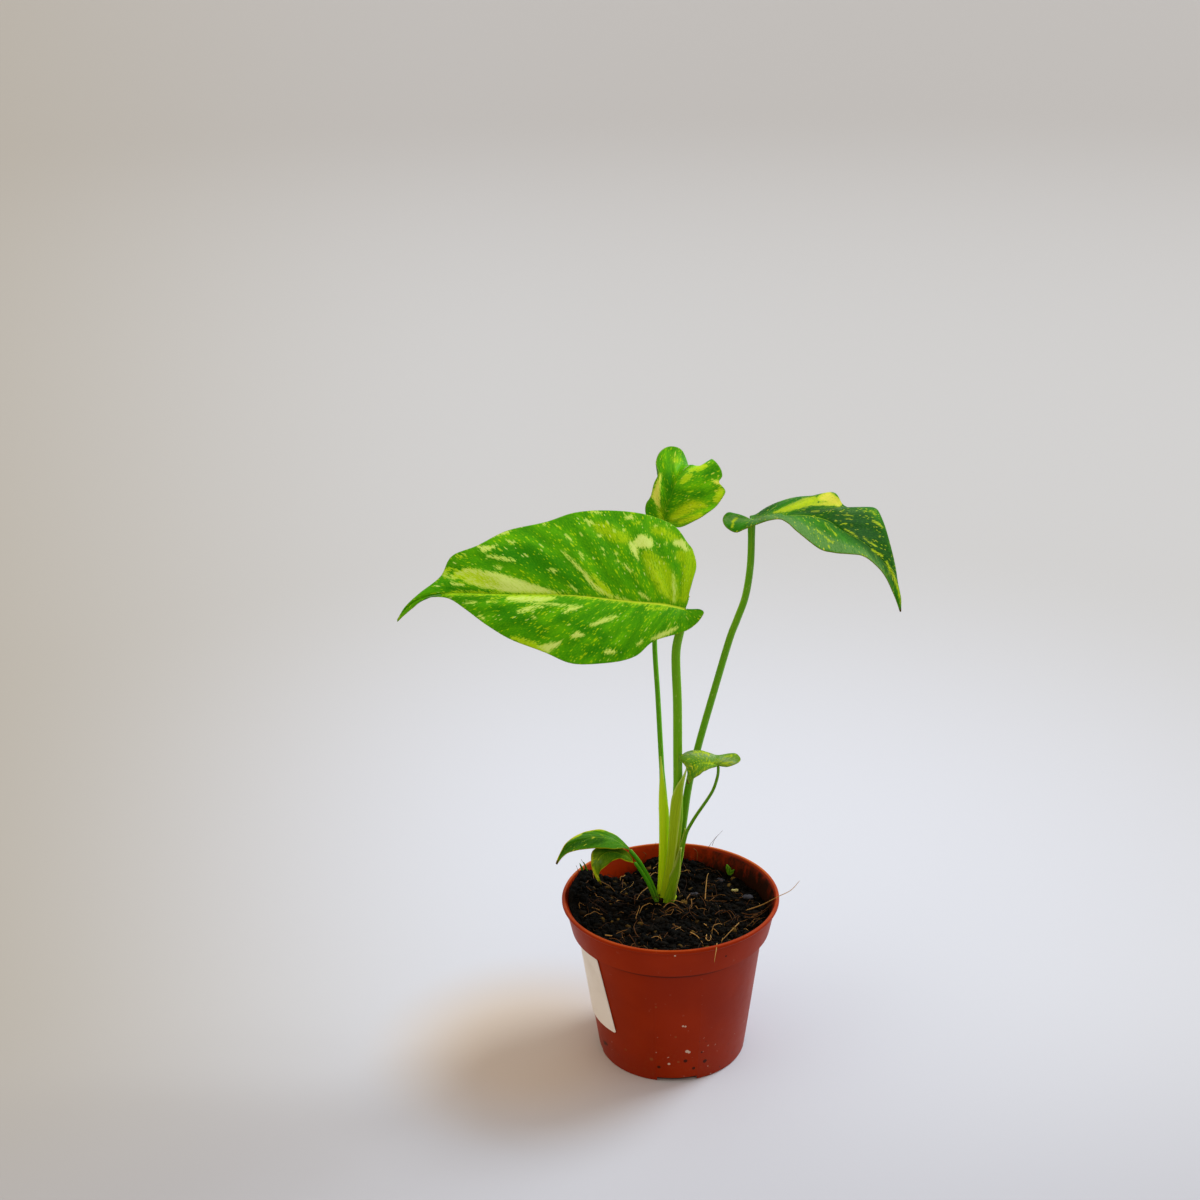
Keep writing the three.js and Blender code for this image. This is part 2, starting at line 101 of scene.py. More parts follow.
class Finish:  # a material, or the world, while its nodes are laid
    def __init__(self, name, kind="materials"):
        self.material = getattr(bpy.data, kind).new(name)
        self.material.use_nodes = True
        self.tree = self.material.node_tree
        self.tree.nodes.clear()

    def node(self, kind, settings=None, sockets=None, out=0):
        made = self.tree.nodes.new("ShaderNode" + kind)
        for key, value in (settings or {}).items():
            setattr(made, key, value)
        for key, value in (sockets or {}).items():
            if isinstance(value, Signal):
                self.tree.links.new(value.socket, made.inputs[key])
            else:
                made.inputs[key].default_value = value
        return Signal(self, made.outputs[out])

    def place(self, scale=(1, 1, 1)):  # object coordinates in millimetres, stretched
        spot = self.node("TexCoord", out="Object")
        return self.node("Mapping", {}, {"Vector": spot, "Scale": [s / mm for s in scale]})

    def skin(self, across=1.0, along=1.0):  # the piece's own millimetres, stretched
        spot = self.node("UVMap", {"uv_map": "skin"})
        return self.node("Mapping", {}, {"Vector": spot, "Scale": (across, along, 1)})

    def grain(self, vector, scale=1.0, detail=3.0, roughness=0.5, distortion=0.0):
        sockets = {"Vector": vector, "Scale": scale, "Detail": detail}
        return self.node("TexNoise", {}, {**sockets, "Roughness": roughness, "Distortion": distortion})

    def cells(self, vector):
        settings = {"voronoi_dimensions": "2D", "feature": "F1"}
        return self.node("TexVoronoi", settings, {"Vector": vector, "Scale": 1.0})

    def part(self, vector):  # its first number, with "Y" and "Z" beside it
        return self.node("SeparateXYZ", {}, {"Vector": vector})

    def apart(self, x, y, centre=(0, 0)):
        return ((x - centre[0]).squared() + (y - centre[1]).squared()) ** 0.5

    def field(self, name):  # a number stored at each point of the piece
        return self.node("Attribute", {"attribute_name": name}, out="Fac")

    def blend(self, share, first, second):  # from the first colour to the second
        def paint(colour):
            return colour if isinstance(colour, Signal) else (*tint(colour), 1)

        sockets = {0: share, 6: paint(first), 7: paint(second)}
        return self.node("Mix", {"data_type": "RGBA"}, sockets, out=2)

    def layered(self, colour, layers):  # colours laid over one another, each with its share
        for share, tone in layers:
            colour = self.blend(share, colour, tone)
        return colour

    def bump(self, height, distance, strength=1.0):
        sockets = {"Height": height, "Distance": distance * mm, "Strength": strength}
        return self.node("Bump", {}, sockets)

    def body(self, colour, rough, bump, more=None):
        sockets = {"Base Color": colour, "Roughness": rough, "Normal": bump}
        return self.node("BsdfPrincipled", {}, {**sockets, **(more or {})})

    def through(self, share, front, colour):  # a share of the light passes the sheet
        glow = self.node("BsdfTranslucent", {}, {"Color": colour})
        return self.node("MixShader", {}, {0: share, 1: front, 2: glow})

    def done(self, shader, output="ShaderNodeOutputMaterial"):
        output = self.tree.nodes.new(output)
        self.tree.links.new(shader.socket, output.inputs["Surface"])
        return self.material


# Shapes
class SmoothLine:  # a curve through its points, read by its share of the length
    def __init__(self, points, samples=1200):
        corners = np.array(points, float)
        padded = np.vstack([2 * corners[0] - corners[1], corners, 2 * corners[-1] - corners[-2]])
        reach = np.linspace(0, len(corners) - 1, samples + 1)
        whole = np.minimum(reach.astype(int), len(corners) - 2)
        t = (reach - whole)[:, None]
        before, start, end, after = (padded[whole + k] for k in range(4))
        self.spots = start * (2 * t**3 - 3 * t**2 + 1) + end * (3 * t**2 - 2 * t**3)
        self.spots += (end - before) / 2 * (t**3 - 2 * t**2 + t) + (after - start) / 2 * (t**3 - t**2)
        steps = np.linalg.norm(np.diff(self.spots, axis=0), axis=1)
        self.reach = np.concatenate([[0.0], np.cumsum(steps)])
        self.length = float(self.reach[-1])

    def at(self, share):
        reach = np.clip(share, 0, 1) * self.length
        return np.stack([np.interp(reach, self.reach, self.spots[:, k]) for k in range(3)], axis=-1)

    def heading(self, share):
        nudge = 0.01
        return unit(self.at(share + nudge) - self.at(share - nudge))


def unit(vectors):
    return vectors / np.maximum(np.linalg.norm(vectors, axis=-1, keepdims=True), 1e-9)


def readTable(table, share):  # rows of [share, values...]
    columns = np.array(table, float).T
    return [np.interp(share, columns[0], column) for column in columns[1:]]


def smoothStep(value, low, high):
    t = np.clip((value - low) / (high - low), 0, 1)
    return t * t * (3 - 2 * t)


def meshFrom(name, bm):  # the mesh of a bmesh, which is let go
    mesh = bpy.data.meshes.new(name)
    bm.to_mesh(mesh)
    bm.free()
    return mesh


def placed(name, data):  # a new object in the scene
    made = bpy.data.objects.new(name, data)
    bpy.context.scene.collection.objects.link(made)
    return made


def newShape():  # an empty bmesh whose faces carry the piece's own millimetres
    bm = bmesh.new()
    bm.loops.layers.uv.new("skin")
    return bm


def addSheet(bm, columns, rows, place, skin):
    # A grid laid by place(across, along), with across from -1 to 1 and along from 0 to 1
    made = bmesh.ops.create_grid(bm, x_segments=columns, y_segments=rows, size=1)["verts"]
    laid = np.array([v.co[:2] for v in made])
    across, along = laid[:, 0], (laid[:, 1] + 1) / 2
    spots = place(across, along)
    flat = dict(zip(made, np.stack(skin(across, along), axis=-1).tolist()))
    layer = bm.loops.layers.uv["skin"]
    for face in {f: None for v in made for f in v.link_faces}:
        for loop in face.loops:
            loop[layer].uv = flat[loop.vert]
    for v, spot in zip(made, spots):
        v.co = spot
    return made, across, along


def addTube(bm, line, sizeAt, sides, steps, deepAt=None):
    # A tube whose ends shrink to a point, so that it closes when its doubles are merged
    curve = line if isinstance(line, SmoothLine) else SmoothLine(line, 200)

    def place(across, along):
        heading = curve.heading(along)
        side = unit(np.array([1.0, 0, 0]) - heading * heading[:, :1])
        deep = np.cross(heading, side)
        turn = across * math.pi
        wide = sizeAt(along)[:, None]
        thick = wide if deepAt is None else deepAt(along)[:, None]
        out = side * np.cos(turn)[:, None] * wide
        return curve.at(along) + out + deep * np.sin(turn)[:, None] * thick

    def skin(across, along):
        return across * math.pi * float(sizeAt(np.array([0.5]))[0]), along * curve.length

    return addSheet(bm, sides, steps, place, skin)


def closedEnds(share, start, end):  # rounds a tube's ends off over these shares of its length
    first = np.sqrt(np.clip(1 - (1 - np.minimum(share / start, 1)) ** 2, 0, 1))
    last = np.sqrt(np.clip(1 - (1 - np.minimum((1 - share) / end, 1)) ** 2, 0, 1))
    return first * last


def setField(bm, name, verts, values):
    layer = bm.verts.layers.float.get(name)
    for v, value in zip(verts, np.broadcast_to(values, len(verts)).tolist()):
        v[layer] = value


def joined(bm):  # merges seams and turns the faces outwards
    bmesh.ops.remove_doubles(bm, verts=bm.verts, dist=1e-4)
    bmesh.ops.recalc_face_normals(bm, faces=bm.faces)
    return bm


def makePiece(name, bm, finishes, nodes=(), creaseAngle=None):
    bmesh.ops.scale(bm, vec=(mm, mm, mm), verts=bm.verts)
    for face in bm.faces:
        face.smooth = True
    mesh = meshFrom(name, bm)
    if creaseAngle:
        mesh.set_sharp_from_angle(angle=math.radians(creaseAngle))
    for finish in finishes:
        mesh.materials.append(finish)
    piece = placed(name, mesh)
    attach(piece, "root")
    if nodes:
        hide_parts(*nodes)
    return piece


# The camera stands where the photograph was taken from, a little above the plant
camera = {
    "place": (-26.12, -656.17, 446.84),
    "pitch": 0.358,  # radians below level
    "roll": -0.0247,
    "lens": 54,
    "sensor": 36,
    "frame": 1200,  # pixels across the photograph
}


def cameraAxes():
    pitch, roll = camera["pitch"], camera["roll"]
    forward = Vector((0, math.cos(pitch), -math.sin(pitch)))
    level = Vector((1, 0, 0))
    up = Vector((0, math.sin(pitch), math.cos(pitch)))
    right = level * math.cos(roll) + up * math.sin(roll)
    return right, up * math.cos(roll) - level * math.sin(roll), forward


focal = camera["frame"] * camera["lens"] / camera["sensor"]


def photoSpots(points):  # where points in millimetres lie on the photograph, in its pixels
    right, up, forward = (np.array(axis) for axis in cameraAxes())
    away = np.array(points) - np.array(camera["place"])
    depth = away @ forward
    half = camera["frame"] / 2
    px, py = half + focal * (away @ right) / depth, half - focal * (away @ up) / depth
    return np.stack([px, py], axis=-1)


def seenAt(px, py, height):  # the point at a height that the photograph shows at a pixel
    right, up, forward = cameraAxes()
    half = camera["frame"] / 2
    eye = Vector(camera["place"])
    away = forward + right * (px - half) / focal - up * (py - half) / focal
    return eye + away * ((height - eye.z) / away.z)


def setCamera():
    data = bpy.data.cameras.new("photo_camera")
    data.lens = camera["lens"]
    data.sensor_width = camera["sensor"]
    eye = placed("photo_camera", data)
    right, up, forward = cameraAxes()
    turn = Matrix((right, up, -forward)).transposed().to_4x4()
    eye.matrix_world = Matrix.Translation(Vector(camera["place"]) * mm) @ turn
    bpy.context.scene.camera = eye


setCamera()
print("camera set")

# Floor, with light and shade painted into its colour, lights and the room's even light
studio = {
    "floorSize": 60,  # metres across
    "bright": "#ced0d8",  # painted pool of light round the pot, falling off through the middle and far tones
    "middle": "#bdbcbc",
    "far": "#aba7a4",
    "warm": "#9f9584",  # painted shade, warmer and darker towards the left
    "centre": (0.03, 0.13),
    "middleFrom": 0.05,
    "middleTo": 0.56,
    "farFrom": 0.6,
    "farTo": 4.0,
    "warmFrom": 0.05,  # how far to the left a spot lies, against its distance from the camera
    "warmTo": 0.5,
    "warmShare": 0.8,
    "cameraBack": 0.7,
    "nearest": 0.3,
    "front": "#a4a4ae",  # painted shade towards the camera
    "frontFrom": 0.06,
    "frontTo": -0.28,
    "frontShare": 0.8,
    "glow": "#c4aa88",  # painted warm bounce light in the pot's shadow on the floor beside it
    "paintedGlowAt": (-0.06, -0.002),
    "paintedGlowReach": (0.02, 0.078),
    "paintedGlowShare": 0.6,
    "under": "#2a2c28",  # painted shadow on the floor under the pot, dark through its notches
    "paintedShadowReach": (0.028, 0.0293),
    "roomWarm": (0.68, 0.545, 0.4),  # light from the room's dim side
    "roomCool": (0.9, 0.93, 0.99),  # light from its window side
    "windowSide": (0.5, 0.7, 0.2),
    "dimFrom": -0.6,
    "brightFrom": 1.0,
}
suns = {
    "window": {"from": (0.8, 0.42, 0.95), "strength": 2.2, "spread": 24, "colour": (0.84, 0.94, 1.0)},
    "bounce": {"from": (-0.9, -0.3, 0.8), "strength": 0.3, "spread": 40, "colour": (0.93, 0.96, 1.0)},
}


def floorFinish():
    s = studio
    finish = Finish("floor_painted_light")
    x = finish.part(finish.node("TexCoord", out="Object"))
    y = x.beside("Y")
    reach = finish.apart(x, y, s["centre"])
    leftward = (0 - x) / (y + s["cameraBack"]).atLeast(s["nearest"])
    nearer = 1 - y.ramp(s["frontTo"], s["frontFrom"])
    glow = 1 - finish.apart(x, y, s["paintedGlowAt"]).ramp(*s["paintedGlowReach"])
    # The floor's colour paints its light: a bright pool round the pot that falls off further away,
    # painted shade to the left and towards the camera, painted bounce light beside the pot and painted
    # shadow under it
    layers = [
        (reach.ramp(s["middleFrom"], s["middleTo"]), s["middle"]),
        (reach.ramp(s["farFrom"], s["farTo"]), s["far"]),
        (leftward.ramp(s["warmFrom"], s["warmTo"]) * s["warmShare"], s["warm"]),
        (nearer * s["frontShare"], s["front"]),
        (glow * s["paintedGlowShare"], s["glow"]),
        (1 - finish.apart(x, y).ramp(*s["paintedShadowReach"]), s["under"]),
    ]
    colour = finish.layered(s["bright"], layers)
    sockets = {"Base Color": colour, "Roughness": 0.8, "Specular IOR Level": 0.1}
    return finish.done(finish.node("BsdfPrincipled", {}, sockets))


def roomLight():  # an even glow, warm and dim on one side, cool and bright on the window's
    room = Finish("room_light", "worlds")
    sides = {0: room.node("TexCoord", out="Generated"), 1: studio["windowSide"]}
    facing = room.node("VectorMath", {"operation": "DOT_PRODUCT"}, sides, out="Value")
    share = facing.ramp(studio["dimFrom"], studio["brightFrom"])
    tones = {0: share, 6: (*studio["roomWarm"], 1), 7: (*studio["roomCool"], 1)}
    colour = room.node("Mix", {"data_type": "RGBA"}, tones, out=2)
    return room.done(room.node("Background", {}, {"Color": colour}), "ShaderNodeOutputWorld")


def makeStudio():
    bm = bmesh.new()
    bmesh.ops.create_grid(bm, x_segments=1, y_segments=1, size=studio["floorSize"] / 2)
    floor = placed("floor", meshFrom("floor", bm))
    floor.data.materials.append(floorFinish())
    for name, sun in suns.items():
        data = bpy.data.lights.new(name, "SUN")
        data.angle = math.radians(sun["spread"])
        data.energy = sun["strength"]
        data.color = sun["colour"]
        placed(name, data).rotation_euler = Vector(sun["from"]).to_track_quat("Z", "Y").to_euler()
    bpy.context.scene.world = roomLight()
    bpy.context.scene.view_settings.view_transform = "Standard"


makeStudio()
print("studio set")

# The pot
potForm = {
    "height": 70.5,
    "rim": 45,
    "lipHeight": 2,
    "lipRadius": 43.7,
    "collarHeight": 14,
    "collarRadius": 41.3,
    "neck": 38.4,
    "foot": 30.8,
    "wall": 1.3,
    "lipWall": 1.7,
    "floorTop": 4,
    "recess": 2,
    "ringWidth": 2.2,
    "pad": 9,
    "shoulder": 0.8,
    "notches": 4,
    "notchWidth": 16.5,
    "notchDepth": 8,
    "notchTurn": 1.5,  # degrees
    "drain": 3,
    "drainAt": 20,
    "soilLine": 61,
    "sides": 144,
    "crease": 38,  # degrees, from which an edge is drawn sharp
}
potTones = {
    "deep": "#8a2200",
    "warm": "#a42e00",
    "dust": "#8c4420",
    # painted highlight along the top of the lip
    "lipHighlight": "#c06020",
    "fleck": "#c9b4a0",
    # the stain tone also paints the shadow under the collar
    "stain": "#2e1308",
    # the soil tone darkens the inside of the collar above the mix
    "soil": "#241006",
}
# Specks near the foot and on the collar, as the photograph shows them: across, down, radius in mm
potSpecks = {
    "fleck": [
        (683, 1026, 0.5), (685.4, 1026.2, 0.5), (687, 1051.3, 0.8), (689, 1052, 0.7),
        (669, 1064, 0.6), (675, 955.5, 0.5),
    ],
    "dust": [
        (656, 1007, 0.5), (675.7, 1037, 0.5), (625.7, 1049.5, 0.6), (678.4, 1062, 0.6),
        (651.4, 1059, 0.9),
    ],
    "stain": [
        (685.4, 1061, 0.9), (704.9, 1061, 1.0), (693.8, 1068.3, 0.8), (658.9, 1067, 0.8),
        (604.4, 1042.6, 1.2), (606.4, 1043.6, 1.1), (701.6, 1052, 0.5), (725.9, 956, 0.5),
    ],
}
collarLow = potForm["height"] - potForm["collarHeight"]
lipLow = potForm["height"] - potForm["lipHeight"]


def wallAt(height):
    return potForm["foot"] + (potForm["neck"] - potForm["foot"]) * height / collarLow


def collarInsideAt(height):
    spread = (potForm["lipRadius"] - potForm["collarRadius"]) / (lipLow - collarLow)
    return potForm["collarRadius"] + spread * (height - collarLow) - potForm["wall"]


def outsideAt(height):
    return wallAt(height) if height < collarLow else collarInsideAt(height) + potForm["wall"]


def onWall(px, py):  # the point of the outside wall that the photograph shows at a pixel
    spots = [seenAt(px, py, height / 4) for height in range(3, int(4 * potForm["height"]))]
    onFace = [s for s in spots if math.hypot(s.x, s.y) <= outsideAt(s.z)]
    return tuple(onFace[-1])


def potFinish():
    tones = potTones
    finish = Finish("moulded_terracotta")
    spot = finish.place()
    x = finish.part(spot)
    y, height = x.beside("Y"), x.beside("Z")
    mottled = finish.grain(spot, scale=0.05, detail=4).ramp(0.35, 0.7)
    warm = height.ramp(collarLow - 1, collarLow + 1) * 0.15 + mottled * 0.35
    low = 1 - height.ramp(4, 32)  # towards the foot
    dusty = finish.grain(spot, scale=0.6, detail=6, roughness=0.7).ramp(0.5, 0.75)
    flecks = finish.grain(spot, scale=0.45, detail=2).ramp(0.72, 0.74) * (low * 0.5 + 0.05)
    blotches = finish.grain(finish.place((1, 1, 1.4)), scale=0.4, detail=3, distortion=0.6)
    stains = blotches.ramp(0.7, 0.73)
    # Painted highlight along the top of the lip, stronger towards the back
    lipHighlight = height.ramp(potForm["height"] - 0.5, potForm["height"] - 0.05)
    rim = lipHighlight * (mottled * 0.3 + y.ramp(0, 30) * 0.6 + 0.1)
    collarShadow = height.ramp(collarLow - 2.7, collarLow - 1.7)  # painted shadow that the collar casts on the wall below it
    collarShadow = collarShadow * (1 - height.ramp(collarLow - 0.3, collarLow + 0.1))
    inside = 1 - (finish.apart(x, y) - collarInsideAt(height)).ramp(0.3, 0.7)  # of the collar
    inside = inside * height.ramp(collarLow, collarLow + 1)
    blotchyInside = finish.grain(finish.place((1, 1, 0.35)), scale=0.3, detail=5, roughness=0.7)
    above = (height - potForm["soilLine"]) * 0.05
    insideDarkening = (blotchyInside * 1.6 + x * 0.014 - above).ramp(0.35, 1.15)  # darker inside the collar above the mix, blotchy, more towards the right and less towards the rim
    layers = [
        (warm.atMost(1.0), tones["warm"]),
        (dusty * (low * 0.3 + 0.06), tones["dust"]),
        (stains * low, tones["stain"]),
        (flecks, tones["fleck"]),
        (rim, tones["lipHighlight"]),
        # painted shadow under the collar, in the stain tone
        (collarShadow * 0.8, tones["stain"]),
        (inside * insideDarkening, tones["soil"]),
    ]
    for tone, specks in potSpecks.items():
        for px, py, size in specks:
            ends = {0: spot, 1: onWall(px, py)}
            spread = finish.node("VectorMath", {"operation": "DISTANCE"}, ends, out="Value")
            speck = 1 - (spread + (dusty - 0.5) * size * 0.5).ramp(size * 0.6, size * 0.8)
            layers.append((speck * 0.9, tones[tone]))
    colour = finish.layered(tones["deep"], layers)
    rough = finish.grain(spot, scale=0.3, detail=4) * 0.16 + 0.34 + flecks * 0.3
    pores = finish.grain(spot, scale=2.2, detail=2) * 0.4 + finish.grain(spot, scale=0.12, detail=2)
    sheen = {"Specular IOR Level": 0.05, "Coat Weight": 0.02}
    return finish.done(finish.body(colour, rough, finish.bump(pores, 0.12, 0.5), sheen))


def makePot():
    p = potForm
    top = p["height"]
    outside = [
        (0, 0),
        (p["pad"], 0),
        (p["pad"] + 0.6, p["recess"]),
        (p["foot"] - p["ringWidth"] - 0.4, p["recess"]),
        (p["foot"] - p["ringWidth"], 0),
        (p["foot"] - 0.9, 0),
        (p["foot"] - 0.35, 0.15),
        (p["foot"], 0.8),
        (wallAt(collarLow - p["shoulder"]), collarLow - p["shoulder"]),
        (p["neck"] + 0.1, collarLow - 0.25),
        (p["neck"] + 0.4, collarLow),
        (p["collarRadius"] - 0.7, collarLow),
        (p["collarRadius"] - 0.2, collarLow + 0.2),
        (p["collarRadius"], collarLow + 0.8),
        (p["lipRadius"], lipLow),
        (p["rim"] - 0.3, lipLow + 0.35),
        (p["rim"], lipLow + 0.8),
        (p["rim"], top - 0.7),
        (p["rim"] - 0.25, top - 0.2),
        (p["rim"] - 0.7, top),
    ]
    inside = [
        (p["rim"] - p["lipWall"] + 0.4, top - 0.1),
        (p["rim"] - p["lipWall"], top - 0.7),
        (collarInsideAt(lipLow), lipLow),
        (collarInsideAt(collarLow + 2 * p["shoulder"]), collarLow + 2 * p["shoulder"]),
        (wallAt(collarLow) - p["wall"], collarLow + p["shoulder"]),
        (wallAt(p["floorTop"]) - p["wall"] - 0.6, p["floorTop"] + 0.6),
        (wallAt(p["floorTop"]) - p["wall"] - 1.4, p["floorTop"]),
        (0, p["floorTop"]),
    ]
    bm = bmesh.new()
    profile = [bm.verts.new((radius, 0, height)) for radius, height in outside + inside]
    edges = [bm.edges.new(pair) for pair in zip(profile, profile[1:])]
    spin = {"cent": (0, 0, 0), "axis": (0, 0, 1), "angle": 2 * math.pi, "steps": p["sides"]}
    bmesh.ops.spin(bm, geom=profile + edges, use_merge=True, **spin)
    joined(bm)
    cutters = bmesh.new()
    for i in range(p["notches"]):
        turn = Matrix.Rotation(math.radians(p["notchTurn"] - 90 + 360 * i / p["notches"]), 4, "Z")
        shape = Matrix.Diagonal((p["notchDepth"], p["notchWidth"], 2 * p["recess"], 1))
        notch = turn @ Matrix.Translation((p["foot"], 0, 0)) @ shape
        bmesh.ops.create_cube(cutters, size=1, matrix=notch)
        hole = turn @ Matrix.Translation((p["drainAt"], 0, p["floorTop"]))
        size = {"radius1": p["drain"], "radius2": p["drain"], "depth": 3 * p["floorTop"]}
        bmesh.ops.create_cone(cutters, cap_ends=True, segments=32, matrix=hole, **size)
    return cutAway(bm, cutters)


def cutAway(bm, cutters):  # the first shape less the second
    whole = placed("whole", meshFrom("whole", bm))
    tool = placed("cutters", meshFrom("cutters", cutters))
    cut = whole.modifiers.new("cut", "BOOLEAN")
    cut.operation = "DIFFERENCE"
    cut.solver = "EXACT"
    cut.object = tool
    result = bmesh.new()
    result.from_object(whole, bpy.context.evaluated_depsgraph_get())
    for made in (whole, tool):
        bpy.data.objects.remove(made)
    return result


makePiece("nursery_pot", makePot(), [potFinish()], ["pot"], potForm["crease"])
print("pot made")

# The blank sticker on the pot's left side: angles are seen from above, 0 towards +X
sticker = {
    "low": 19.5,
    "high": 54,
    "frontLow": -135,
    "frontHigh": -143.5,
    "backLow": -221,
    "backHigh": -219,
    "lift": 0.3,
    "thick": 0.22,
    "corner": 0.05,
    "slices": 48,
    "crease": 40,
    "paper": "#efe8dd",
    "worn": "#d8cdbd",
}


def labelFinish():
    finish = Finish("sticker_paper")
    spot = finish.place()
    tooth = finish.grain(spot, scale=1.5, detail=5, roughness=0.7)
    stain = finish.grain(spot, scale=0.09, detail=3).ramp(0.45, 0.75)
    colour = finish.blend(tooth * 0.25 + stain * 0.4, sticker["paper"], sticker["worn"])
    return finish.done(finish.body(colour, 0.55, finish.bump(tooth, 0.05, 0.4)))


def makeLabel():
    s = sticker
    bm = bmesh.new()
    bmesh.ops.create_grid(bm, x_segments=1, y_segments=1, size=1)
    rounding = {"offset": s["corner"], "segments": 6, "profile": 0.5, "material": -1}
    bmesh.ops.bevel(bm, geom=bm.verts[:], affect="VERTICES", **rounding)
    for i in range(1, s["slices"]):
        geometry = bm.verts[:] + bm.edges[:] + bm.faces[:]
        edge = (2 * i / s["slices"] - 1, 0, 0)
        bmesh.ops.bisect_plane(bm, geom=geometry, plane_co=edge, plane_no=(1, 0, 0))
    for v in bm.verts:
        across, up = (v.co.x + 1) / 2, (v.co.y + 1) / 2
        height = s["low"] + (s["high"] - s["low"]) * up
        back = s["backLow"] + (s["backHigh"] - s["backLow"]) * up
        front = s["frontLow"] + (s["frontHigh"] - s["frontLow"]) * up
        turn = math.radians(back + (front - back) * across)
        radius = wallAt(height) + s["lift"]
        v.co = (radius * math.cos(turn), radius * math.sin(turn), height)
    bm.normal_update()
    if sum(f.normal.dot(f.calc_center_median()) for f in bm.faces) < 0:
        bmesh.ops.reverse_faces(bm, faces=bm.faces)
    bmesh.ops.solidify(bm, geom=bm.faces[:], thickness=-s["thick"])
    return bm


makePiece(
    "pot_sticker", makeLabel(), [labelFinish()], ["pot_label"], sticker["crease"]
)
print("sticker made")

# Potting mix: a plug with a crumbly top, loose crumbs on it and dry root fibres
mixForm = {
    "level": 61,
    "wave": 0.7,
    "gap": 0.3,
    "grid": 180,
    "crumble": 1.0,  # how strongly the lumps show
    # noise: how fine, where it starts, height
    "lumps": [(0.2, (0, 0, 0), 0.9), (0.55, (9, 2, 5), 0.9), (1.5, (3, 7, 1), 0.5)],
    # heaps and dips of mix near the wall: x, y, height, radius
    "heaps": [
        (-36, 24, 8.5, 8),
        (-5, 38, 4.5, 7),
        (-19, 37, -3, 6),
        (10, 36, 3.8, 8),
        (-41, 12, 9, 10),
        (-44, 0, 8, 9),
        (-42, -12, 6, 9),
        (-30, -26, 2, 9),
        (4, -30, 1.2, 14),
        (36, -8, 1.2, 8),
    ],
    "doublings": 12,  # of one crumb, which gives 4,096
    "crumbMargin": 1.8,  # how far the crumbs keep from the wall
    "crumbSizes": [0.25, 0.3, 0.4, 0.5, 0.6, 0.8, 1.3],
    "crumbRaised": 0.2,  # how far a crumb's middle lies over the mix, in its own size
    "crumbRough": 0.45,
    "fibres": 200,
    "fibreMargin": 3,
    "fibreLengths": [5, 7, 9, 12, 16],
    "fibreRises": [0.2, 0.4, 0.6, 1.2, 2.4],
    "fibreSizes": [0.1, 0.13, 0.17, 0.22],
}
mixTones = {
    "dark": "#010100",
    "brown": "#0e0903",
    "dry": "#3a280e",
    "crumb": "#100b04",
    "palest": "#5c4418",
    "crumbDry": "#34240e",
    "fibreDark": "#1e0f04",
    "fibre": "#5e3608",
    "fibrePale": "#c0904a",
    "fibreStain": "#3c2208",
}


def mixHeight(x, y):
    wave = math.sin(x * 0.31 + 1) * math.cos(y * 0.37 - 0.4)
    height = mixForm["level"] + mixForm["wave"] * wave
    for heapX, heapY, rise, radius in mixForm["heaps"]:
        height += rise * math.exp(-((x - heapX) ** 2 + (y - heapY) ** 2) / radius**2)
    spot = Vector((x, y, 0))
    for fineness, start, rise in mixForm["lumps"]:
        height += mixForm["crumble"] * noise.noise(spot * fineness + Vector(start)) * rise
    return height


def mixFinish():
    finish = Finish("potting_mix")
    spot = finish.place()
    tone = finish.grain(spot, scale=0.5, detail=6, roughness=0.75)
    fine = finish.grain(spot, scale=2.4, detail=3)
    layers = [
        (tone.ramp(0.42, 0.7), mixTones["brown"]),
        (fine.ramp(0.58, 0.76) * 0.6, mixTones["dry"]),
    ]
    colour = finish.layered(mixTones["dark"], layers)
    bump = finish.bump(tone + fine * 0.6, 0.6)
    return finish.done(finish.body(colour, 0.9, bump, {"Specular IOR Level": 0.08}))


def crumbFinish():
    finish = Finish("mix_crumbs")
    tone = finish.field("tone")
    fine = finish.grain(finish.place(), scale=1.6, detail=4, roughness=0.7)
    layers = [
        (tone.ramp(0.3, 0.95), mixTones["crumb"]),
        (tone.ramp(0.95, 1), mixTones["palest"]),
        (fine.ramp(0.58, 0.76) * 0.4, mixTones["crumbDry"]),
    ]
    colour = finish.layered(mixTones["dark"], layers)
    return finish.done(finish.body(colour, 0.88, finish.bump(fine, 0.3), {"Specular IOR Level": 0.08}))


def scattered(reach):  # a place on the mix, no further than reach from the pot's axis
    turn = random.uniform(0, 2 * math.pi)
    radius = reach * math.sqrt(random.random())
    return radius * math.cos(turn), radius * math.sin(turn)


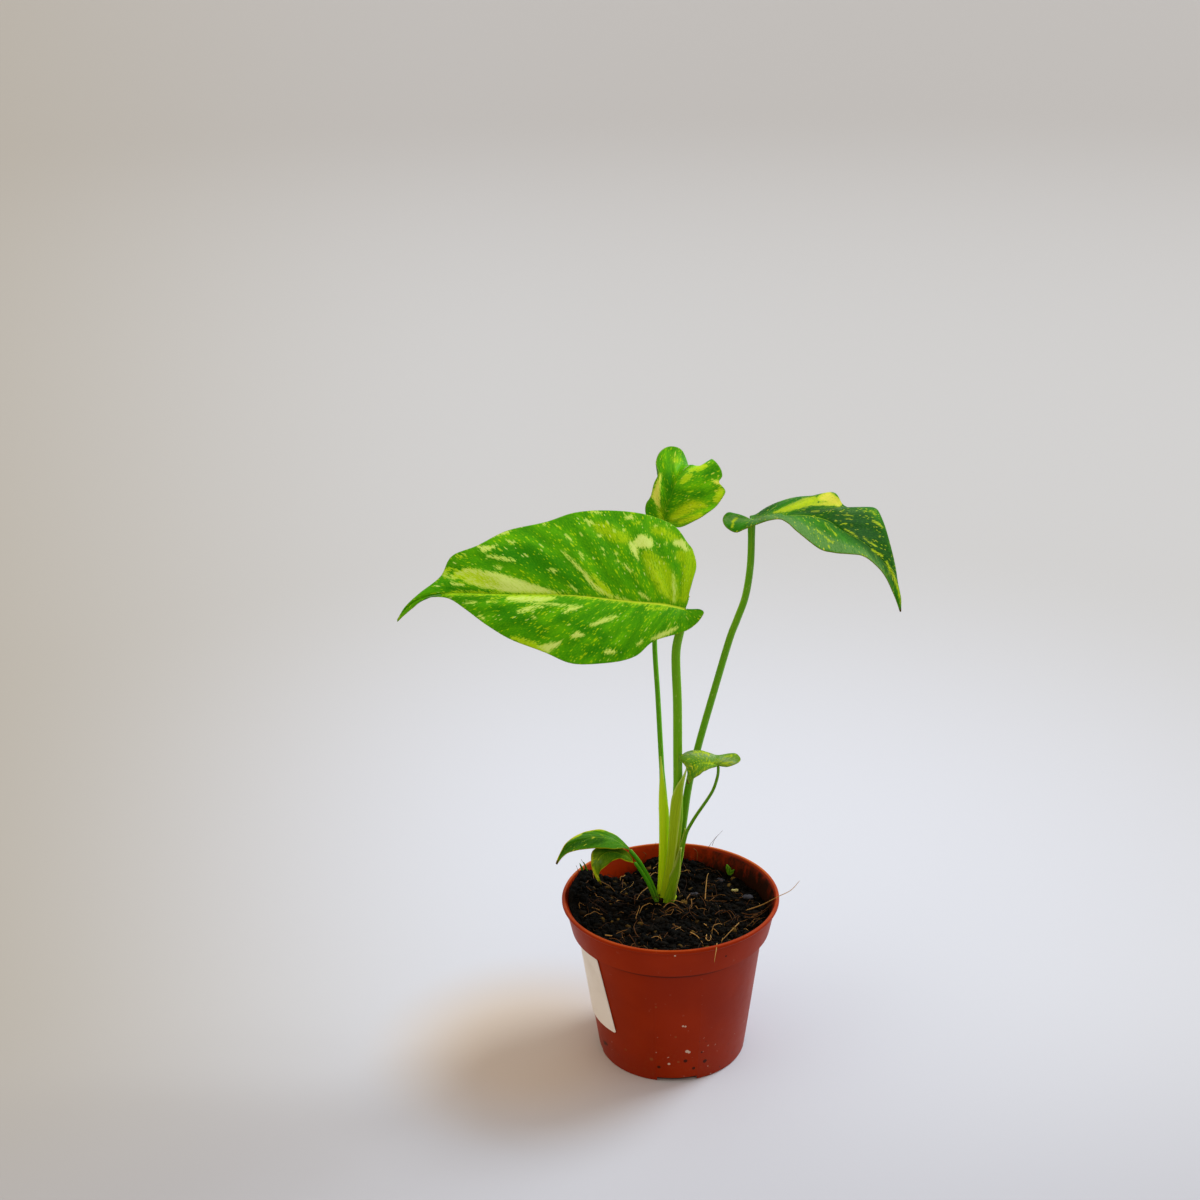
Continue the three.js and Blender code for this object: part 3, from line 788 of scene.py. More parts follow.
def makeMix():
    top = collarInsideAt(mixForm["level"]) - mixForm["gap"]

    def onDisc(across, along):
        x, y = across, 2 * along - 1
        x, y = x * np.sqrt(1 - y * y / 2), y * np.sqrt(1 - x * x / 2)
        heights = np.array([mixHeight(a * top, b * top) for a, b in zip(x, y)])
        reach = collarInsideAt(np.minimum(heights, lipLow)) - mixForm["gap"]
        return np.stack([x * reach, y * reach, heights], axis=-1)

    bm = newShape()
    grid = mixForm["grid"]
    addSheet(bm, grid, grid, onDisc, lambda across, along: (across * top, along * 2 * top))
    rim = [e for e in bm.edges if e.is_boundary]
    floorTop, shoulder, wall = (potForm[key] for key in ("floorTop", "shoulder", "wall"))
    gap = mixForm["gap"]
    stepTop = collarLow + 2 * shoulder + 2 * gap
    levels = [
        (collarInsideAt(stepTop) - gap, stepTop),
        (wallAt(collarLow) - wall - gap, collarLow + shoulder + gap),
        (wallAt(floorTop) - wall - gap - 0.6, floorTop + 1.2),
        (wallAt(floorTop) - wall - 1.8, floorTop + gap),
    ]
    for radius, height in levels:
        grown = bmesh.ops.extrude_edge_only(bm, edges=rim)["geom"]
        ring = {g for g in grown if isinstance(g, bmesh.types.BMVert)}
        for v in ring:
            flat = Vector((v.co.x, v.co.y)).normalized() * radius
            v.co = (flat.x, flat.y, height)
        rim = [g for g in grown if isinstance(g, bmesh.types.BMEdge) and set(g.verts) <= ring]
    bmesh.ops.contextual_create(bm, geom=rim)
    bmesh.ops.recalc_face_normals(bm, faces=bm.faces)
    return bm


def makeCrumbs():
    bm = bmesh.new()
    tone = bm.verts.layers.float.new("tone")
    bmesh.ops.create_icosphere(bm, subdivisions=1, radius=1)
    corners = len(bm.verts)
    for _ in range(mixForm["doublings"]):
        bmesh.ops.duplicate(bm, geom=bm.verts[:] + bm.edges[:] + bm.faces[:])
    verts = list(bm.verts)
    reach = collarInsideAt(mixForm["level"]) - mixForm["crumbMargin"]
    for start in range(0, len(verts), corners):
        x, y = scattered(reach)
        size = random.choice(mixForm["crumbSizes"]) * random.uniform(0.8, 1.3)
        shade = random.random()
        stretch = (random.uniform(0.7, 1.6), random.uniform(0.6, 1.1), random.uniform(0.5, 0.9), 1)
        spin = Matrix.Rotation(random.uniform(0, 6.3), 4, "Z")
        spin = spin @ Matrix.Rotation(random.uniform(-0.8, 0.8), 4, "X")
        middle = mixHeight(x, y) + size * mixForm["crumbRaised"]
        shape = Matrix.Translation((x, y, middle)) @ spin @ Matrix.Diagonal(stretch)
        for v in verts[start : start + corners]:
            v.co = shape @ (v.co * size)
            v.co += Vector(noise.noise_vector(v.co * 1.3)) * size * mixForm["crumbRough"]
            v[tone] = shade
    return bm


def fibreFinish():  # the tone field makes each fibre dark or pale
    finish = Finish("dry_root_fibre")
    tone = finish.field("tone")
    fine = finish.grain(finish.place(), scale=0.9, detail=4)
    layers = [
        (tone.ramp(0, 0.55), mixTones["fibre"]),
        (tone.ramp(0.5, 1), mixTones["fibrePale"]),
        (fine.ramp(0.5, 0.7) * 0.4, mixTones["fibreStain"]),
    ]
    colour = finish.layered(mixTones["fibreDark"], layers)
    return finish.done(finish.body(colour, 0.75, finish.bump(fine, 0.15), {"Specular IOR Level": 0.2}))


def addFibre(bm, line, radius, shade, steps=12):
    def thinning(share):
        return radius * (1 - 0.55 * share) * closedEnds(share, 0.05, 0.08)

    verts, _, _ = addTube(bm, line, thinning, 6, steps)
    setField(bm, "tone", verts, shade)


# Strands as the photograph shows them: half thickness, paleness, then across, down and how far
# over the mix
strands = [
    (0.19, 0.5, [(678, 926, 0.6), (671, 929, 1), (665, 936, 0.8), (662, 942, 0.2)]),
    (0.23, 0.9, [(690, 932, 0.6), (697, 936, 1), (703, 943.5, 0.4)]),
    (
        0.23, 0.95,
        [(707, 934, 0.5), (706, 938, 0.8), (708.4, 941, 0.8), (711, 938, 0.8), (710, 933.5, 0.5)],
    ),
    (0.24, 0.8, [(717, 943, 6), (716.2, 950, 9.3), (715, 957, 8.5), (714.4, 963, 6.5)]),
    (0.32, 0.95, [(603, 935, 0.6), (612, 936, 1), (623, 937.5, 0.5)]),
    (0.17, 0.45, [(629, 934, 0.6), (633, 940, 0.8), (636, 945, 0.3)]),
    (0.22, 0.75, [(648.5, 887, 0.6), (641, 893, 1), (636, 901, 0.4)]),
    (0.22, 0.7, [(663, 908, 0.4), (669, 903, 1.4), (676, 905, 1), (681, 910, 0.3)]),
    (0.22, 0.8, [(668, 901, 0.6), (675, 900.5, 1.6), (684, 903, 0.5)]),
    (0.19, 0.6, [(666, 911, 0.3), (672, 907, 1), (680, 909, 0.8), (686, 914, 0.3)]),
    (0.17, 0.6, [(623, 879, 0.6), (622.4, 885, 0.8), (622, 891, 0.3)]),
    (0.2, 0.65, [(600, 881, 0.4), (610, 886.5, 1), (616, 893, 0.4)]),
    (0.19, 0.5, [(714, 915, 0.4), (721, 910.5, 1.4), (728, 912, 1.2), (733, 921, 0.3)]),
    (0.2, 0.5, [(722, 913, 0.4), (730, 911, 1.2), (736, 918, 0.6)]),
    (0.2, 0.45, [(741, 913, 0.4), (750, 914.5, 1.4), (761, 912, 3), (773, 903, 6.5)]),
    (0.19, 0.4, [(744, 917, 0.4), (756, 917, 1.2), (768, 909, 4)]),
    (0.16, 0.55, [(739, 898, 0.5), (744, 897, 0.8), (750, 898.5, 0.3)]),
    (0.19, 0.6, [(693, 848, 9), (697, 852, 6.5), (697, 861, 2.5)]),
    (0.14, 0.6, [(720, 856, 4), (722, 861, 2)]),
    (0.16, 0.45, [(643, 852, 6), (646, 855, 4.5), (641, 862, 1)]),
    (0.1, 0.5, [(712, 846, 9.6), (715, 839, 13), (723, 830, 18)]),
    (0.1, 0.5, [(708, 848, 9.6), (712, 842, 12), (717, 836, 15)]),
    (0.12, 0.4, [(652, 850, 9), (655, 846, 12), (656, 842, 14)]),
    (0.14, 0.3, [(587, 868, 4), (584, 864, 5), (581, 859, 7)]),
    (0.12, 0.3, [(579, 873, 4), (577.5, 869, 5), (576, 865, 6.5)]),
    (0.14, 0.45, [(700, 896, 0.5), (704, 901, 1.2), (706, 908, 0.3)]),
    (0.16, 0.6, [(704, 899, 0.8), (709, 901, 1.6), (716, 896, 0.8)]),
    (0.14, 0.4, [(640, 918, 0.5), (644, 924, 1), (650, 926, 0.3)]),
    (0.14, 0.4, [(590, 905, 0.5), (597, 900, 1.2), (604, 903, 0.4)]),
    (0.14, 0.5, [(752, 926, 0.5), (758, 920, 1), (766, 917, 1.5)]),
]


def overMix(px, py, lift):  # the point over the mix that the photograph shows at a pixel
    height = mixForm["level"]
    for _ in range(12):
        spot = seenAt(px, py, height + lift)
        height += (mixHeight(spot.x, spot.y) - height) / 3
    return tuple(seenAt(px, py, height + lift + 0.4))


def makeFibres():
    bm = newShape()
    bm.verts.layers.float.new("tone")
    for thickness, shade, line in strands:
        addFibre(bm, [overMix(*spot) for spot in line], thickness, shade, 26)
    reach = collarInsideAt(mixForm["level"]) - mixForm["fibreMargin"]
    for _ in range(mixForm["fibres"]):
        x, y = scattered(reach)
        heading = random.uniform(0, 2 * math.pi)
        bend = random.uniform(-0.5, 0.5)
        length = random.choice(mixForm["fibreLengths"]) * random.uniform(0.8, 1.2)
        rise = random.choice(mixForm["fibreRises"])
        line = []
        for i in range(6):
            share = i / 5
            limit = min(1, reach / max(math.hypot(x, y), 0.1))
            x, y = x * limit, y * limit
            lift = rise * math.sin(math.pi * share) + random.uniform(-0.3, 0.5)
            line.append((x, y, mixHeight(x, y) + lift))
            x += length / 5 * math.cos(heading)
            y += length / 5 * math.sin(heading)
            heading += bend + random.uniform(-0.25, 0.25)
        thickness = random.choice(mixForm["fibreSizes"])
        addFibre(bm, line, thickness, random.random() ** 1.4)
    return joined(bm)


strandFinish = fibreFinish()
makePiece("mix_plug", makeMix(), [mixFinish()], ["soil"])
makePiece("mix_crumbs", makeCrumbs(), [crumbFinish()])
makePiece("mix_fibres", makeFibres(), [strandFinish])
print("potting mix made")

# Leaf stalks: centreline from the stem upwards, and [share of the length, half width, half depth]
stalks = {
    "main_petiole": {
        "line": [
            (-1.4, 11.6, 62.9), (1.3, 11.6, 79), (2.8, 11.6, 93), (3.9, 11.5, 109), (4, 10.5, 130),
            (4, 9, 153), (3.5, 7.6, 174), (5, 6.8, 184), (7.4, 6, 193.5),
        ],
        "girth": [
            (0, 1.9, 1.3), (0.14, 2.2, 1.4), (0.3, 2.6, 1.5), (0.42, 1.9, 1.6), (1, 1.75, 1.6),
        ],
    },
    "back_petiole": {
        "line": [
            (-3.2, 13.6, 62.9), (-2.2, 15.5, 77), (-1.6, 17, 96), (-1.8, 18.6, 107), (-2.5, 22, 127),
            (-3.2, 28, 148), (-4, 35, 169), (-3, 39.5, 188), (-1, 41.8, 203), (0.6, 42.4, 217),
        ],
        "girth": [
            (0, 1.6, 1.4), (0.14, 1.7, 1.5), (0.26, 1.9, 1.5), (0.36, 1.1, 1.2), (1, 1, 1),
        ],
    },
    "right_petiole": {
        "line": [
            (0.6, 14.6, 62.9), (3.9, 15.1, 78), (5.7, 15.2, 91), (8.6, 14.2, 113), (13, 13.2, 133),
            (19.2, 12, 157), (25.1, 11, 179), (28.2, 10.5, 188), (31.4, 10, 198), (33.2, 9.2, 212),
            (33.4, 8.2, 228.9),
        ],
        "girth": [
            (0, 1.1, 1.1), (0.12, 1.6, 1.4), (0.25, 1.6, 1.4), (0.35, 1.5, 1.4), (0.95, 1.4, 1.3),
            (1, 1.6, 1.4),
        ],
    },
    "small_petiole": {
        "line": [
            (-0.6, 10.2, 62.9), (1.7, 9.8, 70.6), (4, 9.6, 77.5), (5.7, 9.8, 86), (7.4, 10.2, 93.2),
            (9.4, 10.3, 97.5), (11.8, 9.8, 102), (16.5, 8.1, 110.4), (18.7, 7, 115.5),
            (20.1, 5.3, 122), (20.2, 4.3, 126),
        ],
        "girth": [
            (0, 0.7, 0.8), (0.3, 0.75, 0.8), (1, 0.6, 0.6),
        ],
    },
    "low_petiole_upper": {
        "line": [
            (-5.2, 11, 62), (-8, 11.8, 70), (-11.2, 11.8, 77), (-13.3, 11.4, 81),
            (-15.9, 11, 84.9),
        ],
        "girth": [
            (0, 1.25, 1.1), (0.5, 1.0, 1.0), (1, 0.85, 0.9),
        ],
    },
    "low_petiole_lower": {
        "line": [
            (-5.8, 9.6, 61.8), (-8.7, 10.2, 69.6), (-11.6, 10.1, 75.6), (-14, 9.2, 80),
        ],
        "girth": [
            (0, 0.9, 0.9), (1, 0.65, 0.75),
        ],
    },
}
# What each stalk looks like: colours above and near its base, and the height where they meet
# The low stalks' dark green, darkest at the foot, is painted shade under the low leaves
lowShadedLook = {"green": "#3c9404", "light": "#7cb41c", "base": "#1c4c02", "from": 62, "to": 73}
stalkLooks = {
    "main_petiole": {"green": "#6aac00", "light": "#a0cc10", "base": "#94a010", "from": 84, "to": 108},
    "back_petiole": {"green": "#5aa400", "light": "#8cc008", "base": "#b4d800", "from": 92, "to": 104},
    "right_petiole": {"green": "#5ea200", "light": "#98b808", "base": "#6cac00", "from": 66, "to": 90},
    "small_petiole": {"green": "#549400", "light": "#a4b00c", "base": "#549400", "from": 66, "to": 80},
    "low_petiole_upper": lowShadedLook,
    "low_petiole_lower": lowShadedLook,
}
stalkForm = {
    "sides": 28,
    "stepLength": 1.0,
    "buried": 4.0,  # how far each stalk goes on into the mix
    "intoBlade": 1.2,
    "ribs": 5,  # faint lengthwise ridges
    "ribDepth": 0.035,
    "skinWide": 5.0,  # half the width that the skin pattern has round a stalk
    "speck": "#b9c86a",
    "sheathThick": 0.25,
    "sheathGrid": (36, 70),
    "sheathSkin": 3,  # half the width of a sheath's skin pattern
    "sheathMargin": 0.28,
}
# Sheaths that wrap the foot of a stalk: the share of the stalk where they end, the side they
# face, seen from above with -90 towards the front, and how far they reach round on either side.
# Towards the tip they lean round by so many degrees and stand off, and at the foot they swell.
# Lift is the gap at their margins, and the higher the taper, the longer they stay wide.
plainSheath = {"lean": 0, "lift": 0.35, "stand": 0, "swell": 0.5}
sheaths = {
    "main_sheath": {
        **plainSheath, "on": "main_petiole", "high": 0.48, "face": -142, "wrap": 72,
        "lean": 134, "taper": 4.5, "stand": 2.0,
    },
    "back_sheath": {
        **plainSheath, "on": "back_petiole", "high": 0.4, "face": -100, "wrap": 130,
        "taper": 2, "swell": 0.2,
    },
    "right_sheath": {
        **plainSheath, "on": "right_petiole", "high": 0.2, "face": -60, "wrap": 110,
        "lift": 0.4, "taper": 1.6,
    },
    "small_sheath": {
        **plainSheath, "on": "small_petiole", "high": 0.4, "face": -120, "wrap": 140,
        "lift": 1.7, "taper": 0.9, "swell": 0.8,
    },
}
sheathLooks = {
    "main_sheath": {"skin": "#90b408", "light": "#a8cc18", "margin": "#b4d050"},
    "back_sheath": {"skin": "#b4ec00", "light": "#ccf018", "margin": "#c0e050"},
    "right_sheath": {"skin": "#64a800", "light": "#94c010", "margin": "#a9c24a"},
    "small_sheath": {"skin": "#5c8c04", "light": "#88b010", "margin": "#a4bc50"},
}


class Stalk:  # the surface of a stalk, lift millimetres outside it
    def __init__(self, form):
        line = np.array(form["line"], float)
        foot = line[0] - unit(line[1] - line[0]) * stalkForm["buried"]
        tip = line[-1] + unit(line[-1] - line[-2]) * stalkForm["intoBlade"]
        self.curve = SmoothLine([foot, *line, tip])
        self.girth = form["girth"]

    def at(self, turn, share, lift=0.0):
        heading = self.curve.heading(share)
        side = unit(np.array([1.0, 0, 0]) - heading * heading[:, :1])
        deep = np.cross(heading, side)
        wide, thick = (size[:, None] for size in readTable(self.girth, share))
        ridge = 1 + stalkForm["ribDepth"] * np.cos(stalkForm["ribs"] * turn)[:, None]
        lift = np.broadcast_to(lift, share.shape)[:, None]
        out = side * np.cos(turn)[:, None] * (wide * ridge + lift)
        return self.curve.at(share) + out + deep * np.sin(turn)[:, None] * (thick * ridge + lift)


grown = {name: Stalk(form) for name, form in stalks.items()}


def plantSkin(finish, colour, rough, bump):  # waxy green tissue that light enters
    depth = {"Subsurface Weight": 0.25, "Subsurface Radius": (0.8, 1.0, 0.3), "Subsurface Scale": mm}
    return finish.done(finish.body(colour, rough, bump, {"Specular IOR Level": 0.16, **depth}))


def stalkFinish(name, look):
    finish = Finish(name + "_skin")
    height = finish.part(finish.place()).beside("Z")
    streak = finish.grain(finish.skin(1.6, 0.05), detail=4, roughness=0.6)
    speck = finish.grain(finish.skin(1.2, 0.35), detail=3)
    around = finish.part(finish.skin(1 / stalkForm["skinWide"])).squared()
    # Painted rim light: both side edges of each stalk are lighter
    left = around.ramp(0.62, 0.92)  # the seam, half way round, is the left edge
    right = 1 - around.ramp(0.0, 0.03)
    low = 1 - (height + (streak - 0.5) * 14).ramp(look["from"], look["to"])
    layers = [
        (streak.ramp(0.48, 0.8) * 0.6, look["light"]),
        (left.atLeast(right) * 0.6, look["light"]),
        (low, finish.blend(streak.ramp(0.4, 0.65) * 0.6, look["base"], look["light"])),
        (speck.ramp(0.62, 0.72) * 0.35, stalkForm["speck"]),
    ]
    colour = finish.layered(look["green"], layers)
    return plantSkin(finish, colour, streak * 0.2 + 0.34, finish.bump(streak, 0.08, 0.6))


def makeStalk(name):
    stalk = grown[name]
    bm = newShape()
    steps = int(stalk.curve.length / stalkForm["stepLength"])

    def place(across, along):
        ends = closedEnds(along, 0.01, 0.008)[:, None]
        middle = stalk.curve.at(along)
        return middle + (stalk.at(across * math.pi, along) - middle) * ends

    def skin(across, along):
        return across * stalkForm["skinWide"], along * stalk.curve.length

    addSheet(bm, stalkForm["sides"], steps, place, skin)
    return joined(bm)


def sheathFinish(name, look):
    finish = Finish(name + "_skin")
    streak = finish.grain(finish.skin(2.2, 0.07), detail=4, roughness=0.6)
    colour = finish.blend(streak.ramp(0.35, 0.7), look["skin"], look["light"])
    margin = (finish.field("edge") + (streak - 0.5) * 0.3).ramp(-0.25, 0.2)
    colour = finish.blend(margin, colour, look["margin"])
    return plantSkin(finish, colour, streak * 0.2 + 0.32, finish.bump(streak, 0.08, 0.6))


def makeSheath(sheath):
    stalk = grown[sheath["on"]]
    bm = newShape()
    bm.verts.layers.float.new("edge")

    def reach(along):  # the tip narrows to a point
        return np.radians(sheath["wrap"]) * np.clip(1 - along ** sheath["taper"], 0.01, 1)

    def place(across, along):
        facing = sheath["face"] + sheath["lean"] * along ** sheath["taper"]
        turn = np.radians(facing) + across * reach(along)
        flare = sheath["lift"] * (0.35 + 0.65 * np.abs(across) ** 3) + sheath["stand"] * along**6
        flare = flare + sheath["swell"] * (1 - along) ** 3
        return stalk.at(turn, sheath["high"] * along, flare)

    length = stalk.curve.length * sheath["high"]

    def skin(across, along):
        return across * stalkForm["sheathSkin"], along * length

    verts, across, along = addSheet(bm, *stalkForm["sheathGrid"], place, skin)
    fromEdge = (1 - np.abs(across)) * reach(along) * 1.6
    setField(bm, "edge", verts, stalkForm["sheathMargin"] - fromEdge)
    bmesh.ops.recalc_face_normals(bm, faces=bm.faces)
    return bm


for name in stalks:
    finish = stalkFinish(name, stalkLooks[name])
    makePiece(name + "_stalk", makeStalk(name), [finish], [name])
for name, sheath in sheaths.items():
    finish = sheathFinish(name, sheathLooks[name])
    piece = makePiece(name, makeSheath(sheath), [finish])
    skin = piece.modifiers.new("thickness", "SOLIDIFY")
    skin.thickness = stalkForm["sheathThick"] * mm
print("stalks made")

# Blades: the midrib and both margins run from the stalk to the tip. Left and right are as seen
# from the stalk, looking along the midrib with the upper side up. bow lifts each half between
# midrib and margin.
blades = {
    "main_leaf": {
        "rib": [
            (7.6, 5.6, 194.4), (-1.5, 6, 196.5), (-15.5, 6.5, 198), (-37, 6.5, 201),
            (-61, 5.5, 202.5),
            (-77, 5, 203.5), (-88.5, 4, 204), (-96, 3.5, 203), (-101.5, 2, 199.5), (-105.5, 1, 194.5),
        ],
        "left": [
            (9, 4.6, 194), (12.4, 3.5, 195.2), (14.2, 2.6, 194.7), (14.1, 1.5, 193.6),
            (11.2, -0.6, 190.6), (6, -2.5, 188),
            (-5.5, -6, 186), (-13, -10, 181.5), (-23.5, -11.5, 179.5), (-37, -11.5, 179.5),
            (-48, -9, 183.5), (-61, -7, 188.5), (-70, -4.5, 193.5), (-78, -0.5, 198.5),
            (-84.5, 2.5, 202), (-89.5, 3, 203), (-95, 2.5, 202.5), (-100.5, 0.5, 199),
            (-105.5, 0.7, 194.2),
        ],
        "right": [
            (7.5, 7, 196), (7.5, 10, 200), (12.2, 16, 207.5), (11.4, 21, 213), (9.2, 23, 216),
            (4, 27.5, 222),
            (-7, 30, 226), (-21, 30.5, 228), (-35, 29, 228), (-47, 25.5, 225.5), (-62, 22, 223.5),
            (-74, 17, 219), (-84, 14, 216), (-88.5, 9, 209.5), (-96.5, 4, 204.5), (-102, 2, 200),
            (-105.5, 1.3, 194.8),
        ],
        "bow": 2,
    },
    "right_leaf": {
        "rib": [
            (33.2, 8.2, 229.8), (40.5, 7, 231), (52, 6, 232), (61.5, 4, 230.5), (68, 2, 226.5),
            (75.5, 0, 222.5), (82.5, -2, 216), (87.5, -3, 208.5), (90, -4, 202), (90.5, -4, 195),
        ],
        "left": [
            (33.6, 9, 230), (33, 11, 230.5), (36, 15, 230), (44.5, 24, 231.5), (53, 28, 232.5),
            (61, 31, 232), (68.5, 32, 232.3), (72, 30, 228), (77, 27, 227), (83, 24, 228.5),
            (85.5, 20, 226.5), (87.5, 10, 219), (88.5, 4, 212), (90, -1, 203), (90.7, -3.7, 195),
        ],
        "right": [
            (32.8, 7.4, 230), (31, 8, 231), (28, 8.5, 231.5), (25.5, 8.5, 233), (23.5, 7.5, 233),
            (22, 5.5, 231.5), (22.5, 3, 229.5), (24.5, 1, 228), (27, 0, 227.5), (30, -1.5, 229.5),
            (34.5, -4, 232), (41.5, -10, 236), (45, -13, 235.5), (48.5, -16, 232.8), (56.5, -19, 227),
            (62, -19, 225.4), (68, -17, 223.8), (73.5, -14, 221.5), (79, -12, 217), (83.5, -9, 211.5),
            (87, -6.5, 203.5), (90.2, -4.3, 195),
        ],
        "bow": 1.5,
    },
    "back_leaf": {
        "rib": [
            (0.6, 42.2, 218), (2, 43, 225), (4, 44, 229.5), (6.5, 47, 236), (12, 53, 239.5),
            (16.5, 62, 234.5), (18, 68, 225.5), (18, 71, 215),
        ],
        "left": [
            (-0.4, 41.4, 218), (-4, 39.5, 219), (-6.5, 39.5, 223), (-6.5, 40.5, 227), (-4.5, 42, 230),
            (-3, 43, 235), (-1, 44.5, 239), (-2, 47, 242.5), (0, 51, 246), (4, 56, 246.8),
            (9, 61, 243.6), (11.6, 66, 236.5), (14, 70, 225.5), (17.7, 71, 215),
        ],
        "right": [
            (1.8, 41.6, 217.4), (7, 37.5, 218), (13.5, 36, 221.4), (18.7, 37, 224.4),
            (22.3, 39.5, 226.5), (25.4, 42, 230), (25.7, 44, 231.5), (23.5, 46.6, 234), (25, 49, 236),
            (24.5, 52, 238.1), (22.6, 55.5, 239.7), (21, 59, 239.6), (20.5, 65, 234),
            (20.5, 69, 225.5), (18.3, 71, 215),
        ],
        "bow": -0.8,
    },
    "small_leaf": {
        "rib": [
            (20, 4, 127), (17, 3, 128.5), (13, 2, 129), (10, 1, 128.5), (8.5, -1, 126),
            (7.5, -2, 122),
        ],
        "left": [
            (19.6, 3.4, 126.9), (16.5, 0, 127.5), (14, -1.5, 127), (12, -2.5, 126), (9.5, -3, 124.5),
            (7.7, -2.3, 122),
        ],
        "right": [
            (20.5, 4.6, 127), (24, 4.5, 126), (28.5, 6, 127), (29.5, 7.5, 128), (28, 9, 129.5),
            (25.5, 9.5, 129.5), (20.5, 9, 129), (17, 9.5, 130), (13, 10, 131), (9.5, 9.8, 131),
            (6.5, 8.5, 130.5), (4.5, 6, 129.5), (6.5, 3.5, 128), (7.6, 0.8, 126), (7.4, -1.7, 122),
        ],
        "bow": 0.5,
    },
    "low_leaf_upper": {
        "rib": [
            (-16.5, 11, 86), (-23, 11, 90.5), (-30, 10.5, 92), (-37, 10, 91), (-42.5, 8.5, 88),
            (-47, 6, 82.5),
        ],
        "left": [
            (-16.2, 10.2, 86), (-19, 7, 88.5), (-23, 4, 90), (-27, 3, 91), (-31.5, 3, 91),
            (-37.5, 4, 90), (-43, 6, 87), (-46.8, 5.7, 82.4),
        ],
        "right": [
            (-16.8, 11.9, 86.4), (-20, 15, 88.5), (-23, 17, 90), (-27.5, 18, 91.5), (-31, 18, 91.5),
            (-35.5, 17, 91), (-41, 13, 90), (-44, 10, 88), (-47.2, 6.3, 82.6),
        ],
        "bow": 0.6,
    },
    "low_leaf_lower": {
        "rib": [
            (-15.2, 9.2, 81.5), (-20, 8, 85.5), (-25.5, 6.5, 87.2), (-29.5, 4.5, 85),
            (-30.5, 3.5, 80.5), (-28.5, 3, 74),
        ],
        "left": [
            (-15, 8.4, 80.8), (-18, 7, 82.5), (-20.5, 6.5, 84), (-23, 5.5, 84), (-25, 5, 83),
            (-27, 4, 81.5), (-29, 4, 79.5), (-29.5, 3.5, 77), (-28.3, 2.9, 74),
        ],
        "right": [
            (-15.3, 9.7, 81.8), (-18, 10.6, 85.6), (-24, 11.5, 87.8), (-29, 9.5, 88), (-32, 7.5, 87),
            (-32.5, 6, 83.5), (-32, 5, 80), (-30.5, 4, 76.5), (-28.7, 3.1, 74),
        ],
        "bow": 0.5,
    },
}
